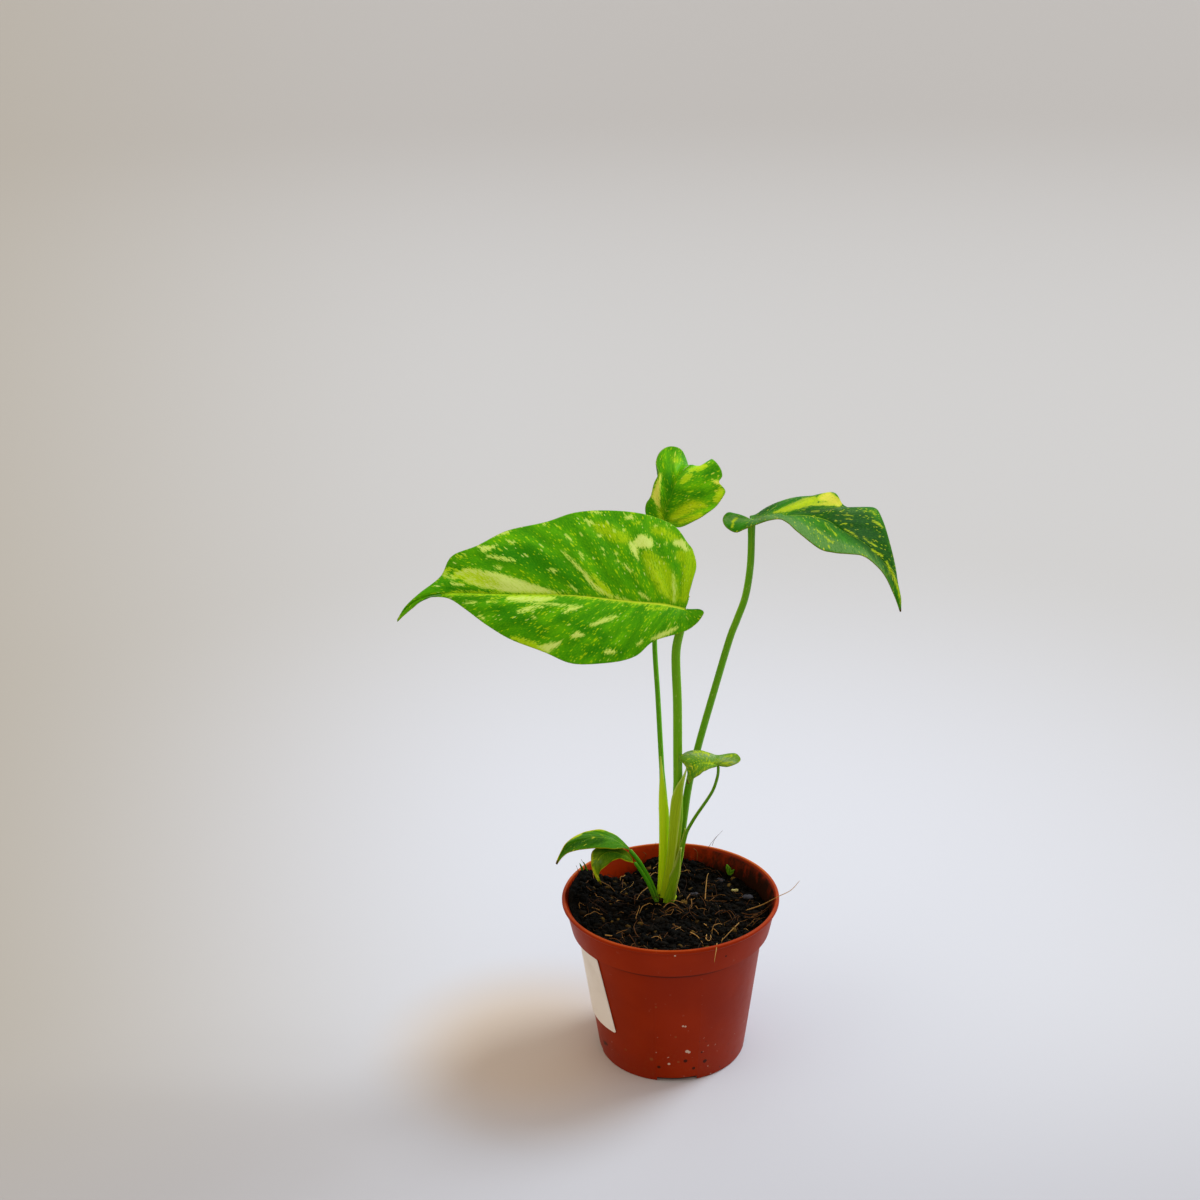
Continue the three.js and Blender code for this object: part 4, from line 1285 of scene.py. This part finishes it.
# Marks on the blades, as strokes of (across, down, half width) in pixels of the photograph. A stroke
# of one spot is a dot, and one that is no wider than 0 leaves only the flecks that noise frays out.
marks = {
    "main_leaf": {
        "cream": [
            [
                (457, 574, 3), (468, 575, 7.5), (480, 578.5, 8.5), (492, 580.5, 8.5),
                (505, 584, 8.5), (518, 586.5, 7), (532, 589, 5), (546, 591.5, 3), (560, 593.5, 0.8),
            ],
            [(444, 575, 1.2), (456, 578, 2)],
            [(509, 598.5, 3), (525, 598.5, 3.5), (540, 599, 3.6), (555, 597.5, 1.5)],
            [(532, 603, 0.8), (556, 604.6, 0.7), (582, 607, 0.6)],
            [(519, 612, 1.6), (527, 609.5, 2), (535, 606.5, 1), (543, 607, 0.8)],
            [(533.7, 617.3, 1.2)],
            [(565, 611.5, 1.8), (571, 609, 1.8), (580, 607.5, 1)],
            [(590, 625.8, 0.8), (598, 623, 2), (607, 619.5, 2), (617, 616.3, 0.7)],
            [(573, 635.5, 2), (577.5, 634.5, 3), (583, 634.8, 1.3)],
            [(606, 652.5, 1.8), (610, 651.5, 2.4), (614, 652, 1.5)],
            [(538, 647, 2.6), (546, 648.5, 4.5), (553, 646.5, 3.6), (561, 641.5, 0.8)],
            [(478, 546.5, 1), (484, 549, 3.2), (489, 548.5, 2), (496, 546, 0.8)],
            [(487.5, 556.3, 0.7), (498, 557.8, 1.4), (506, 559.3, 1.3), (514, 561.3, 1)],
            [(493, 536, 1), (501, 533.8, 1.3), (509.5, 532, 0.7)],
            [(505.5, 541.3, 0.6), (514.5, 542.8, 0.9)], [(495, 567, 0.7), (501, 568, 0.9)],
            [(451.5, 583.8, 1.2), (463.5, 585, 0.8)], [(466.5, 602.5, 0.8), (476.5, 603, 0.8)],
            [(487, 602, 0.7), (496, 602, 0.7)], [(479, 615.5, 0.8), (483.5, 618.5, 1)],
            [
                (563.3, 552, 0.8), (571, 560, 0.9), (577, 566, 1.2), (584, 573, 1.4),
                (590, 581, 2.2), (597, 587.5, 3), (604, 592, 3), (611, 596, 1.8), (620, 598.8, 1),
                (630, 601, 0.6),
            ],
            [(636, 544, 4), (642, 541.5, 7), (648, 543, 5.5)],
            [(631, 543, 2), (634, 549, 4), (636.5, 556, 1.5), (638, 560, 0.7)],
            [(676, 543, 3), (681, 543.5, 4), (686, 549, 2.5)],
            [(673.5, 571, 0), (673.5, 583, 1), (674.5, 593, 1.6), (673.5, 602, 0.6)],
            [(645, 560, -0.8), (651, 571, 0), (659, 586, -0.2), (666, 598, -0.8)],
            [(650, 559, -0.8), (656, 567, 0.2), (663, 581, 0.2), (668, 594, -0.6)],
            [(586, 520, 0.7), (590, 522.3, 1.3), (594, 525, 0.8)],
            [(627, 518, 1.5), (630.5, 517, 2.2), (634, 518.5, 1)],
            [(579.3, 552.5, 0.6), (583.5, 558.7, 0.8)], [(566.5, 537, 0.8), (571, 540, 1.1)],
            [(599.5, 536, 1.3)], [(570.3, 585.5, 0.6), (577.5, 591.3, 0.7)],
            [(550, 570, 1), (556.5, 571.5, 1.1)],
            [(624, 563.5, 0.7), (627.5, 568, 1.1), (631.5, 572.3, 0.8)],
            [(639, 592.5, 0.7), (644, 596, 1.1), (649, 599.5, 0.8)],
            [(652.5, 639, 1.2), (660, 636, 2.5), (668, 632, 2.4), (676.5, 628, 1)],
            [(638, 644.5, 0.8), (642, 641, 1)], [(592, 512, 0.8), (600, 512.5, 0.8)],
            [(544, 524.5, 0.9)], [(613.7, 531, 1)], [(623, 530.5, 0.9)], [(602.4, 549.3, 0.9)],
            [(604, 554.8, 0.8)], [(616, 553.7, 1)], [(618, 561.3, 0.9)], [(655, 526, 1)],
            [(668, 525.5, 0.9)], [(665.8, 543.4, 1)],
        ],
        "lime": [
            [(444, 571.5, 1), (449, 569, 1.4), (456, 570, 1)],
            [
                (512, 637.5, 1.4), (522, 641, 3), (533, 646, 4.5), (540, 651, 3),
            ],
            [(649, 562, 0.8), (656, 573, 2.8), (663, 587, 3), (668, 597, 1)],
            [(457, 556.3, 0.8), (464, 556.8, 0.8)],
            [(457, 575, 3), (470, 576, 5), (484, 580, 4.5), (497, 583, 2)],
            [(443, 594, 0.6), (480, 595, 0.7), (520, 595.5, 0.8), (560, 595, 0.7), (592, 598.7, 0.8)],
            [
                (592, 598.7, 0.8), (622, 601.7, 0.9), (638, 604, 0.9), (655, 604.6, 0.9),
                (670.5, 605.7, 0.8),
            ],
            [(646, 608, 0.8), (652, 609.2, 1), (666.5, 608.3, 0.8)],
            [(593.5, 575.5, 1.4), (598, 582, 2.6), (604, 588, 3.2), (610, 594, 2.2)],
            [(491, 598.5, 0.7), (498, 598.5, 0.7)], [(637.6, 523.3, 1.4)], [(635.5, 574.8, 1.2)],
            [(452, 592, 0.9), (470, 592.5, 0.9), (500, 593, 0.8)],
        ],
        "hazeAndSheen": [
            [(588, 522, 2), (600, 528, 7), (613, 534, 8), (625, 539, 7), (632, 541, 3)],
            [(682, 556, 8), (690, 555, 9), (692, 575, 11), (684, 598, 6)],
            [(655, 530, 6), (668, 534, 6), (684, 545, 5)],
            [(648, 556, 8), (656, 568, 12), (667, 584, 13), (674, 596, 8)],
        ],
        "shade": [
            [(500, 552, 8), (528, 556, 12), (552, 570, 12)], [(562, 575, 10), (580, 586, 6)],
            [(495, 607, 5), (515, 617, 8), (540, 630, 8)], [(590, 650, 8), (620, 652, 5)],
            [(448, 588, 5), (470, 592, 4), (490, 594, 3)], [(560, 618, 5), (600, 635, 7)],
        ],
    },
    "back_leaf": {
        "cream": [
            [(661, 474, 1), (658, 483.6, 2), (655.5, 495, 4.5), (657, 501, 3), (659, 507, 1.2)],
            [(713.5, 482, 0.8), (717, 482.5, 1.8), (720.5, 484, 1)],
            [(697, 468.5, 1.5), (704, 466, 2), (707, 466, 1)],
        ],
        "lime": [
            [(660, 514, 1.5), (660, 520, 1.5)],
            [(690, 471, 1.5), (697, 468.5, 3), (704, 466, 2.5), (707, 466, 1)],
            [(682, 482, 2), (686, 478, 3.5), (692, 475.5, 1.5)], [(721, 491, 3), (717, 500, 3.5)],
        ],
        "hazeAndSheen": [
            [(675, 460, 4)],
            [(673, 518, 5), (682, 512, 7), (692, 506, 7), (700, 505, 5), (706, 507, 3)],
            [(721, 495, 4)], [(680, 522, 4), (700, 516, 5)], [(660, 508, 3), (662, 520, 3)],
        ],
        "shade": [
            [(667, 476, 4), (671, 490, 6), (668, 506, 5), (665, 520, 4)],
            [(683, 497, 4), (700, 494, 5)],
            [(648, 510, 4), (650, 518, 4)], [(706, 475, 4), (712, 472, 4)],
            [(690, 523, 2), (704, 516, 2)],
        ],
    },
    "right_leaf": {
        "cream": [
            [(820, 499, 3), (828, 497, 5), (838, 503, 4)],
            [(810, 505, 0.6), (822, 504, 1.6), (832, 504, 2)],
            [(786, 510, 0), (798, 505, 1.4), (812, 501, 1.6)],
        ],
        "lime": [
            [(737.5, 518, 1), (733.5, 521, 1.6), (732, 527, 1.3)],
            [(811, 512, 0.6), (819, 511.5, 0.6)],
            [(842, 515, 0.5), (853, 516, 0.5)],
            [(824.5, 524, 0.5), (830, 529.5, 0.8), (837, 535.5, 0.5)],
            [(815, 528.3, 0.6), (821, 533.5, 1)], [(824.5, 537, 0.7), (832, 543, 1.2)],
            [(869.5, 511, 0.9), (873, 512.5, 0.9), (875.5, 516, 0.8)],
            [(863.5, 538.5, 0.7), (875, 546, 0.8)],
            [(774, 513, 1), (784, 510, 3), (800, 505, 4), (814, 501, 4.6)],
            [(846, 519, 0.2), (852, 520, 0.3)],
            [(790, 506, 1), (804, 500, 2), (815, 498, 2)],
            [(844, 528.8, 0.6), (851, 533, 1.1), (858.5, 538, 0.6)], [(851, 525.5, 1.1)],
            [(873, 521, 1.2), (878, 524, 1.6), (882.5, 528, 1)], [(879, 537, 1)],
            [(872, 550, 1.4), (882, 556, 1.2)],
            [(886, 562, 1.2), (888, 566, 1.5), (893, 575, 1.5), (898, 590, 1.4), (901, 605, 1)],
        ],
        # painted sheen on the near half, and a painted highlight near the top
        "hazeAndSheen": [
            [(748, 521, 4), (772, 517, 5), (790, 524, 7), (812, 536, 10), (838, 547, 8)],
            [(838, 547, 8), (862, 553, 5), (880, 568, 4), (892, 592, 2)],
            [(726, 520, 5), (734, 519, 6), (746, 520, 4)],
            [(838, 509, 2), (850, 511, 2), (862, 510, 2)],
        ],
        "shade": [
            [
                (792, 514, 2), (805, 511, 4), (822, 514, 7), (842, 518, 13), (860, 525, 17),
                (875, 541, 15), (886, 560, 9), (894, 582, 4),
            ],
            [(759, 515, 3), (768, 508, 4), (776, 502, 3)],
        ],
    },
    "small_leaf": {
        "cream": [
            [(727, 763, 0.2), (732, 762.5, 0.4)],
        ],
        "lime": [
            [(694, 753, 0.8), (701, 752, 1), (709, 754, 0.8)], [(724, 757, 0.3), (732, 756, 0.6)],
            [(722, 763, 0.6), (730, 765, 1)], [(703, 763, 0.4), (713, 764, 0.6)],
            [(694, 772, 0), (698, 766, 0)],
            [(699, 774, 0), (705, 768, 0.1)],
        ],
        # painted grey sheen
        "hazeAndSheen": [
            [(686, 753, 4), (700, 754, 4), (714, 756, 4)], [(722, 758, 4), (733, 763, 5)],
        ],
        "shade": [
            [(694, 764, 3), (692, 776, 3)],
        ],
    },
    "low_leaf_upper": {
        "cream": [
            [(568, 839.5, 1.2), (575, 836, 2), (580.5, 834.5, 1)],
        ],
        "lime": [
            [
                (566, 842, 1), (572, 838, 1.6), (584, 832, 1), (596, 830, 1), (606, 830.5, 1.3),
                (614, 833, 1.2), (622, 838, 1),
            ],
        ],
        # painted grey-green sheen
        "hazeAndSheen": [
            [(612, 838, 3)],
        ],
        "shade": [
            [(562, 850, 4), (580, 843, 5), (600, 841, 5)],
        ],
    },
    "low_leaf_lower": {
        "cream": [],
        "lime": [
            [(593, 868, 2), (596, 876, 1.6), (601, 884, 1.4)], [(592, 850, 1.5), (592, 862, 1.8)],
            [(612, 862, 1.2), (622, 860, 1.2), (632, 864, 1)],
        ],
        # painted grey-green sheen
        "hazeAndSheen": [
            [(594, 862, 3), (600, 862, 3)],
        ],
        "shade": [
            [(606, 852, 5), (620, 856, 5)],
        ],
    },
}
# What all blades share: lengths in millimetres, softness of the marks in pixels
everyBlade = {
    "thick": 0.36,
    "fan": 2.2,  # the side veins leave the midrib close together near the stalk
    "veinLean": 0.35,
    "quilted": (0.04, 0.3, 0.75, 1),  # where between midrib and margin the skin quilts
    "groove": (0.6, 1.6),  # the midrib's channel: depth and half width, in half widths of the midrib
    "ribTaper": (0.9, 0.65),  # the pale midrib's half width at the stalk, and what it loses on its way
    "unmarked": -6.0,  # depth of all that lies further outside a mark
    "hazeAndSheenSoft": (-4, 5),
    "hazeAndSheenShare": 0.55,
    "shadeSoft": (-5, 6),
    "brownTip": (1.6, 0.8),  # how far from the tip the brown starts and is full
    "passed": 0.15,  # share of the light that passes the upper skin
    "passedUnder": 0.22,
}
# Grid, side veins, how high the skin quilts and the midrib's half width, how far the margin waves,
# and the width of the pale rim on the left and on the right
bladeForms = {
    "main_leaf": {
        "columns": 140, "rows": 280, "veins": 13, "quilt": 0.16, "rib": 0.62, "ruffle": 0.35,
        "rims": (0.22, 0.22),
    },
    "right_leaf": {
        "columns": 110, "rows": 230, "veins": 13, "quilt": 0.14, "rib": 0.5, "ruffle": 0.3,
        "rims": (0.22, 0.22),
    },
    "back_leaf": {
        "columns": 96, "rows": 170, "veins": 10, "quilt": 0.12, "rib": 0.4, "ruffle": 0.3,
        "rims": (0.22, 0.22),
    },
    "small_leaf": {
        "columns": 70, "rows": 110, "veins": 8, "quilt": 0.06, "rib": 0.25, "ruffle": 0.1,
        "rims": (0.3, 0.3),
    },
    "low_leaf_upper": {
        "columns": 64, "rows": 110, "veins": 8, "quilt": 0.08, "rib": 0.3, "ruffle": 0.1,
        "rims": (0.0, 0.5),
    },
    "low_leaf_lower": {
        "columns": 56, "rows": 100, "veins": 7, "quilt": 0.06, "rib": 0.25, "ruffle": 0.1,
        "rims": (0.45, 0.45),
    },
}
# How fine the grains of the skin are, across and along the blade
bladeGrains = {"drift": (0.07, 0.14), "streak": (0.3, 1.3), "rice": (0.8, 2.6), "mesh": (0.9, 2.2)}
# Flecks in three sizes: cells across and along, their radius in a cell, and their share
fleckSizes = [(0.22, 0.6, 0.3, 0.4), (0.4, 1.1, 0.34, 0.5), (0.7, 1.7, 0.38, 0.8)]
underTones = {"dark": "#4c8c34", "light": "#6fa84c", "pale": "#c3d18c", "rib": "#a9c765"}
freshGreens = {
    "shade": "#288400",
    "deep": "#379000",
    "mid": "#56b000",
    "fresh": "#80cc00",
    "lime": "#bce408",
    "cream": "#e0f884",
    "hazeAndSheen": "#b4dc08",
    "rib": "#e2ff40",
    "edge": "#98a020",
    "brown": "#6c9c10",
    "flecks": 0.17,
    "ragged": 1,  # how far noise frays the marks
    "spread": 0.2,  # widens the lime marks
    "edged": 0.4,  # how strongly the margin and the tip take their colours
    "browned": 0.5,
    "gloss": 0.06,
}
backGreens = {
    **freshGreens,
    "mid": "#62bc00",
    "fresh": "#90dc04",
    "cream": "#fffc6c",
    "hazeAndSheen": "#d2ec10",
    "rib": "#58a000",
    "ragged": 0.7,
}
darkGreens = {
    **freshGreens,
    "shade": "#0a3c00",
    "deep": "#1f6c00",
    "mid": "#348608",
    "fresh": "#5a9c1c",
    # On the dark, small and low leaves the haze is a painted grey-green sheen
    "hazeAndSheen": "#689448",
    "lime": "#b8d010",
    "cream": "#e4dc48",
    "rib": "#8cb41c",
    "brown": "#4a2a10",
    "flecks": 0.1,
    "ragged": 0.36,
    "spread": -0.12,
    "gloss": 0.03,
    "browned": 0.9,
}
smallGreens = {
    **darkGreens,
    "deep": "#508c10",
    "mid": "#70a024",
    "fresh": "#a0bc50",
    # painted grey-green sheen
    "hazeAndSheen": "#a0bc80",
    "shade": "#2a7a08",
    "flecks": 0.24,
    "spread": 0.2,
}
lowGreens = {
    **darkGreens,
    "deep": "#337400",
    "mid": "#4c8c04",
    "fresh": "#6ca020",
    "edge": "#dcc800",
    "edged": 0.9,
    "flecks": 0.06,
}
oliveGreens = {
    **lowGreens,
    "deep": "#447408",
    "mid": "#6c9414",
    "fresh": "#88a428",
    "shade": "#246808",
    "edge": "#b4b010",
    "flecks": 0.04,
}
bladeTones = {
    "main_leaf": freshGreens,
    "back_leaf": backGreens,
    "right_leaf": darkGreens,
    "small_leaf": smallGreens,
    "low_leaf_upper": lowGreens,
    "low_leaf_lower": oliveGreens,
}


def strokeDepth(spots, strokes):  # how far inside the nearest stroke each spot lies, in pixels
    depth = np.full(len(spots), everyBlade["unmarked"])
    for stroke in strokes:
        rows = np.array(stroke, float)
        if len(rows) == 1:
            rows = np.vstack([rows, rows + [0.5, 0, 0]])
        for start, end in zip(rows, rows[1:]):
            onward = end[:2] - start[:2]
            share = np.clip(((spots - start[:2]) @ onward) / max(onward @ onward, 1e-6), 0, 1)
            away = np.linalg.norm(spots - (start[:2] + share[:, None] * onward), axis=1)
            depth = np.maximum(depth, start[2] + (end[2] - start[2]) * share - away)
    return depth


class Blade:
    def __init__(self, name):
        self.form = bladeForms[name]
        self.marks = marks[name]
        self.bow = blades[name]["bow"]
        lines = (SmoothLine(blades[name][line]) for line in ("rib", "left", "right"))
        self.rib, self.left, self.right = lines
        self.length = (self.left.length + self.right.length) / 2

    def halves(self, across, along):  # the midrib's spot and the way from it to the margin
        onRib = self.rib.at(along ** everyBlade["fan"])
        onEdge = np.where(across[:, None] < 0, self.left.at(along), self.right.at(along))
        return onRib, onEdge - onRib

    def middle(self, across, along):  # straight lines from the midrib to the margin
        onRib, way = self.halves(across, along)
        return onRib + way * np.abs(across)[:, None]

    def upward(self, across, along):
        nudge = 0.012
        right, left = np.minimum(across + nudge, 1), np.maximum(across - nudge, -1)
        after, before = np.minimum(along + nudge, 1), np.maximum(along - nudge, 0)
        sideways = self.middle(right, along) - self.middle(left, along)
        onward = self.middle(across, after) - self.middle(across, before)
        return unit(np.cross(sideways, onward))

    def width(self, across, along):  # from the midrib to the margin on that side
        return np.linalg.norm(self.halves(across, along)[1], axis=1)

    def relief(self, across, along):
        form = self.form
        out = np.abs(across)
        away = out * self.width(across, along)
        lift = self.bow * 4 * out * (1 - out) * np.sin(math.pi * along)
        side = np.where(across < 0, 0.37, 0.0)  # the veins of the two halves don't meet
        veins = np.cos(2 * math.pi * (form["veins"] * along + side - everyBlade["veinLean"] * out**2))
        starts, full, fades, ends = everyBlade["quilted"]
        between = smoothStep(out, starts, full) * (1 - smoothStep(out, fades, ends))
        lift += form["quilt"] * veins * between * np.sin(math.pi * along) ** 0.5
        depth, reach = (form["rib"] * size for size in everyBlade["groove"])
        lift -= depth * np.exp(-((away / reach) ** 2)) * (1 - along) ** 0.5
        spots = zip(across.tolist(), along.tolist())
        waves = np.array([noise.noise(Vector((a * 1.2, s * 9, form["veins"]))) for a, s in spots])
        return lift + form["ruffle"] * waves * smoothStep(out, 0.5, 1) * 2

    def place(self, across, along):
        relief = self.relief(across, along)[:, None]
        return self.middle(across, along) + self.upward(across, along) * relief

    def skin(self, across, along):
        return across * self.width(across, along), along * self.length

    def fields(self, spots, across, along):
        width = self.width(across, along)
        away, toEdge = np.abs(across) * width, (1 - np.abs(across)) * width
        atStalk, lost = everyBlade["ribTaper"]
        ribbed = atStalk - lost * along ** everyBlade["fan"]
        left, right = self.form["rims"]
        seen = photoSpots(spots)
        depth = {kind: strokeDepth(seen, strokes) for kind, strokes in self.marks.items()}
        return {
            "cream": depth["cream"],
            "lime": depth["lime"],
            "hazeAndSheen": smoothStep(depth["hazeAndSheen"], *everyBlade["hazeAndSheenSoft"]) * everyBlade["hazeAndSheenShare"],
            "shade": smoothStep(depth["shade"], *everyBlade["shadeSoft"]),
            "rib": self.form["rib"] * ribbed - away,
            "edge": np.where(across < 0, left, right) - toEdge,
        }


def bladeFinish(name, tones, length):
    finish = Finish(name + "_upper")
    drift = finish.grain(finish.skin(*bladeGrains["drift"]), detail=3)
    streak = finish.grain(finish.skin(*bladeGrains["streak"]), detail=4, roughness=0.6)
    rice = finish.grain(finish.skin(*bladeGrains["rice"]), detail=2)
    mesh = finish.grain(finish.skin(*bladeGrains["mesh"]), detail=4, roughness=0.7)
    hazeAndSheenField = finish.field("hazeAndSheen")
    speckled = (hazeAndSheenField * 2.4 + (mesh - 0.5) * 3.5 + (streak - 0.5) * 2.5).ramp(0.7, 1.5)
    # The greens, with pale flecks scattered over them
    greens = [
        ((drift + (streak - 0.5) * 0.3).ramp(0.3, 0.7), tones["mid"]),
        (mesh.ramp(0.42, 0.7) * 0.5, tones["fresh"]),
        ((drift + streak * 0.2).ramp(0.6, 0.85) * 0.3, tones["fresh"]),
        (finish.field("shade") * (0.8 - mesh.ramp(0.45, 0.75) * 0.6), tones["shade"]),
        # Haze: pale lime patches on the main and back leaves, a painted grey-green sheen on the others
        (hazeAndSheenField * 0.45 + speckled * 0.55, tones["hazeAndSheen"]),
    ]
    for across, along, size, share in fleckSizes:
        cell = finish.cells(finish.skin(across, along))
        pick = finish.part(cell.beside("Color"))  # a random number for each cell
        floor = 1 - tones["flecks"] * share
        flecks = 1 - (cell + (mesh - 0.5) * 0.9).ramp(size - 0.1, size)
        flecks = flecks * (pick + (drift - 0.5) * 0.4).ramp(floor, floor + 0.03)
        tone = finish.blend(pick.ramp(0.98, 1), tones["lime"], tones["cream"])
        greens.append((flecks * 0.75, tone))
    colour = finish.layered(tones["deep"], greens)

    # The marks: noise frays them, thin ones are lime, and wide ones cream with grains of green
    jagged = ((streak - 0.5) * 13 + (mesh - 0.5) * 10) * tones["ragged"]
    limy, creamy = finish.field("lime"), finish.field("cream")
    lime = (limy * 0.6 + jagged * 0.7 + tones["spread"]).ramp(-0.5, 0.9)
    limeTone = finish.blend(mesh.ramp(0.5, 0.7) * 0.4, tones["lime"], tones["cream"])
    cream = (creamy + jagged + 0.3).ramp(-0.6, 0.6)
    wide = creamy.ramp(-1, 3) * 0.5 + 0.4
    pale = (wide - limy.ramp(-9, 9) * 0.9 + (mesh - 0.5) * 2.2 + (streak - 0.5) * 2.2).ramp(0, 1)
    greened = (mesh + streak - creamy * 0.03).ramp(1.02, 1.16) * 0.6
    creamTone = finish.blend(greened, finish.blend(pale, tones["lime"], tones["cream"]), tones["fresh"])
    fromStalk = finish.part(finish.skin()).beside("Y")
    starts, full = (length - short for short in everyBlade["brownTip"])
    marked = [
        (lime * 0.85, limeTone),
        (cream, creamTone),
        (finish.field("rib").ramp(-0.12, 0.12) * 0.8, tones["rib"]),
        (finish.field("edge").ramp(-0.1, 0.1) * tones["edged"], tones["edge"]),
        (fromStalk.ramp(starts, full) * tones["browned"], tones["brown"]),
    ]
    colour = finish.layered(colour, marked)
    bump = finish.bump(rice * 0.5 + streak * 0.6, 0.12, 0.6)
    front = finish.body(colour, streak * 0.16 + 0.38, bump, {"Specular IOR Level": tones["gloss"]})
    return finish.done(finish.through(everyBlade["passed"], front, colour))


def underFinish(name):
    finish = Finish(name + "_under")
    streak = finish.grain(finish.skin(*bladeGrains["streak"]), detail=4, roughness=0.6)
    rice = finish.grain(finish.skin(*bladeGrains["rice"]), detail=2)
    jagged = (streak - 0.5) * 4 + (rice - 0.5) * 1.5
    pale = (finish.field("cream").atLeast(finish.field("lime")) + jagged).ramp(-0.5, 0.6)
    layers = [
        (rice.ramp(0.35, 0.7), underTones["light"]),
        (pale * 0.75, underTones["pale"]),
        (finish.field("rib").ramp(-0.12, 0.12) * 0.8, underTones["rib"]),
    ]
    colour = finish.layered(underTones["dark"], layers)
    front = finish.body(colour, streak * 0.16 + 0.42, finish.bump(rice, 0.1))
    return finish.done(finish.through(everyBlade["passedUnder"], front, colour))


def makeBlade(name, blade):
    bm = newShape()
    for field in ("cream", "lime", "hazeAndSheen", "shade", "rib", "edge"):
        bm.verts.layers.float.new(field)
    columns, rows = blade.form["columns"], blade.form["rows"]
    verts, across, along = addSheet(bm, columns, rows, blade.place, blade.skin)
    spots = np.array([v.co for v in verts])
    for field, values in blade.fields(spots, across, along).items():
        setField(bm, field, verts, values)
    finishes = [bladeFinish(name, bladeTones[name], blade.length), underFinish(name)]
    piece = makePiece(name + "_blade", bm, finishes, [name])
    skin = piece.modifiers.new("thickness", "SOLIDIFY")
    skin.thickness = everyBlade["thick"] * mm
    skin.offset = 0
    skin.material_offset = 1


for name in blades:
    makeBlade(name, Blade(name))
print("blades made")

# Loose bits on the mix: where they lie and how wide, deep and high they are
bits = {
    "perlite_grain_large": {"at": (28.6, 17.6), "size": (2.2, 1.4, 1.2), "slot": "perlite"},
    "perlite_grain_small": {"at": (27.2, 17.2), "size": (1.3, 1.0, 1.0), "slot": "perlite"},
    "bark_chip_rear": {"at": (22.6, 27.4), "size": (4.6, 3.4, 1.8), "slot": "bark"},
    "bark_chip_middle": {"at": (10.6, 15.4), "size": (4.2, 3.0, 1.8), "slot": "bark"},
    "bark_chip_right": {"at": (33, 10), "size": (5.0, 3.2, 1.6), "slot": "bark"},
}
bitForm = {
    "raised": 0.3,  # how far its middle lies over the mix, in its height
    "bulges": [(0.7, 0.25), (2.5, 0.08)],  # noise: how fine, and its share of the height
}
bitLooks = {
    "perlite": {"name": "perlite_finish", "dark": "#8c8030", "light": "#e2d898"},
    "bark": {"name": "bark_chip_finish", "dark": "#121014", "light": "#34323e"},
}
# Dry root fibres that stand up from the mix
standing = {"thickness": 0.24, "paleness": 0.8, "steps": 40}
namedFibres = {
    "root_fibre_over_rim": [
        (31, -2.5, 63.2), (37.6, -4.8, 67), (43.8, -6.5, 71.6), (49.8, -2, 72), (54.1, 2, 74.4),
    ],
    "root_fibre_front": [(28, -9.5, 61.8), (24, -17.5, 62.9), (19.3, -24, 61.9)],
    "root_fibre_middle": [(15, 9, 62.2), (15.8, 16, 64), (16.8, 24, 64.6), (18, 31, 62.6)],
}


def bitFinish(look):
    finish = Finish(look["name"])
    fine = finish.grain(finish.place(), scale=1.4, detail=5, roughness=0.7)
    colour = finish.blend(fine.ramp(0.35, 0.7), look["dark"], look["light"])
    return finish.done(finish.body(colour, 0.8, finish.bump(fine, 0.3)))


def makeBit(form):
    x, y = form["at"]
    wide, deep, high = form["size"]
    bm = bmesh.new()
    shape = Matrix.Translation((x, y, mixHeight(x, y) + high * bitForm["raised"]))
    shape = shape @ Matrix.Diagonal((wide, deep, high, 1))
    lump = bmesh.ops.create_icosphere(bm, subdivisions=4, radius=0.5, matrix=shape)["verts"]
    for v in lump:
        for fineness, share in bitForm["bulges"]:
            v.co += Vector(noise.noise_vector(v.co * fineness)) * high * share
    return bm


# Green shoots: a seedling's two leaves and two tiny shoots at the rim, with their half width
sproutForm = {"thick": 0.22, "sides": 12, "steps": 20, "dark": "#2c6400", "light": "#649808"}
sprouts = [
    (1.1, [(26.8, 28.6, 62.5), (26.4, 29, 65), (25.6, 29.6, 67.4)]),
    (0.7, [(27, 28.6, 62.5), (28, 28.8, 64.2), (29, 29, 65)]),
    (0.5, [(-36.5, 22, 68.5), (-36.6, 22, 71), (-37.6, 22, 74)]),
    (0.45, [(-34.5, 22.5, 68.5), (-35, 22.4, 71.5), (-36, 22, 74.6)]),
]


def makeSprouts():
    def broad(share):
        return np.sin(math.pi * (0.1 + 0.9 * share)) ** 0.7

    def flat(share):
        return sproutForm["thick"] * closedEnds(share, 0.1, 0.1)

    bm = newShape()
    sides, steps = sproutForm["sides"], sproutForm["steps"]
    for wide, line in sprouts:
        addTube(bm, line, lambda share: wide * broad(share), sides, steps, flat)
    return joined(bm)


def sproutFinish():
    finish = Finish("sprout_green")
    streak = finish.grain(finish.skin(2, 0.4), detail=3)
    colour = finish.blend(streak.ramp(0.35, 0.7), sproutForm["dark"], sproutForm["light"])
    return plantSkin(finish, colour, streak * 0.2 + 0.36, finish.bump(streak, 0.05))


makePiece("green_sprouts", makeSprouts(), [sproutFinish()])
bitFinishes = {slot: bitFinish(look) for slot, look in bitLooks.items()}
for name, form in bits.items():
    makePiece(name + "_lump", makeBit(form), [bitFinishes[form["slot"]]], [name])
for name, line in namedFibres.items():
    bm = newShape()
    bm.verts.layers.float.new("tone")
    addFibre(bm, line, standing["thickness"], standing["paleness"], standing["steps"])
    makePiece(name + "_strand", joined(bm), [strandFinish], [name])
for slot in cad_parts["root_crown"].material_slots:
    slot.material = bpy.data.materials["main_petiole_skin"]
print("loose bits made")
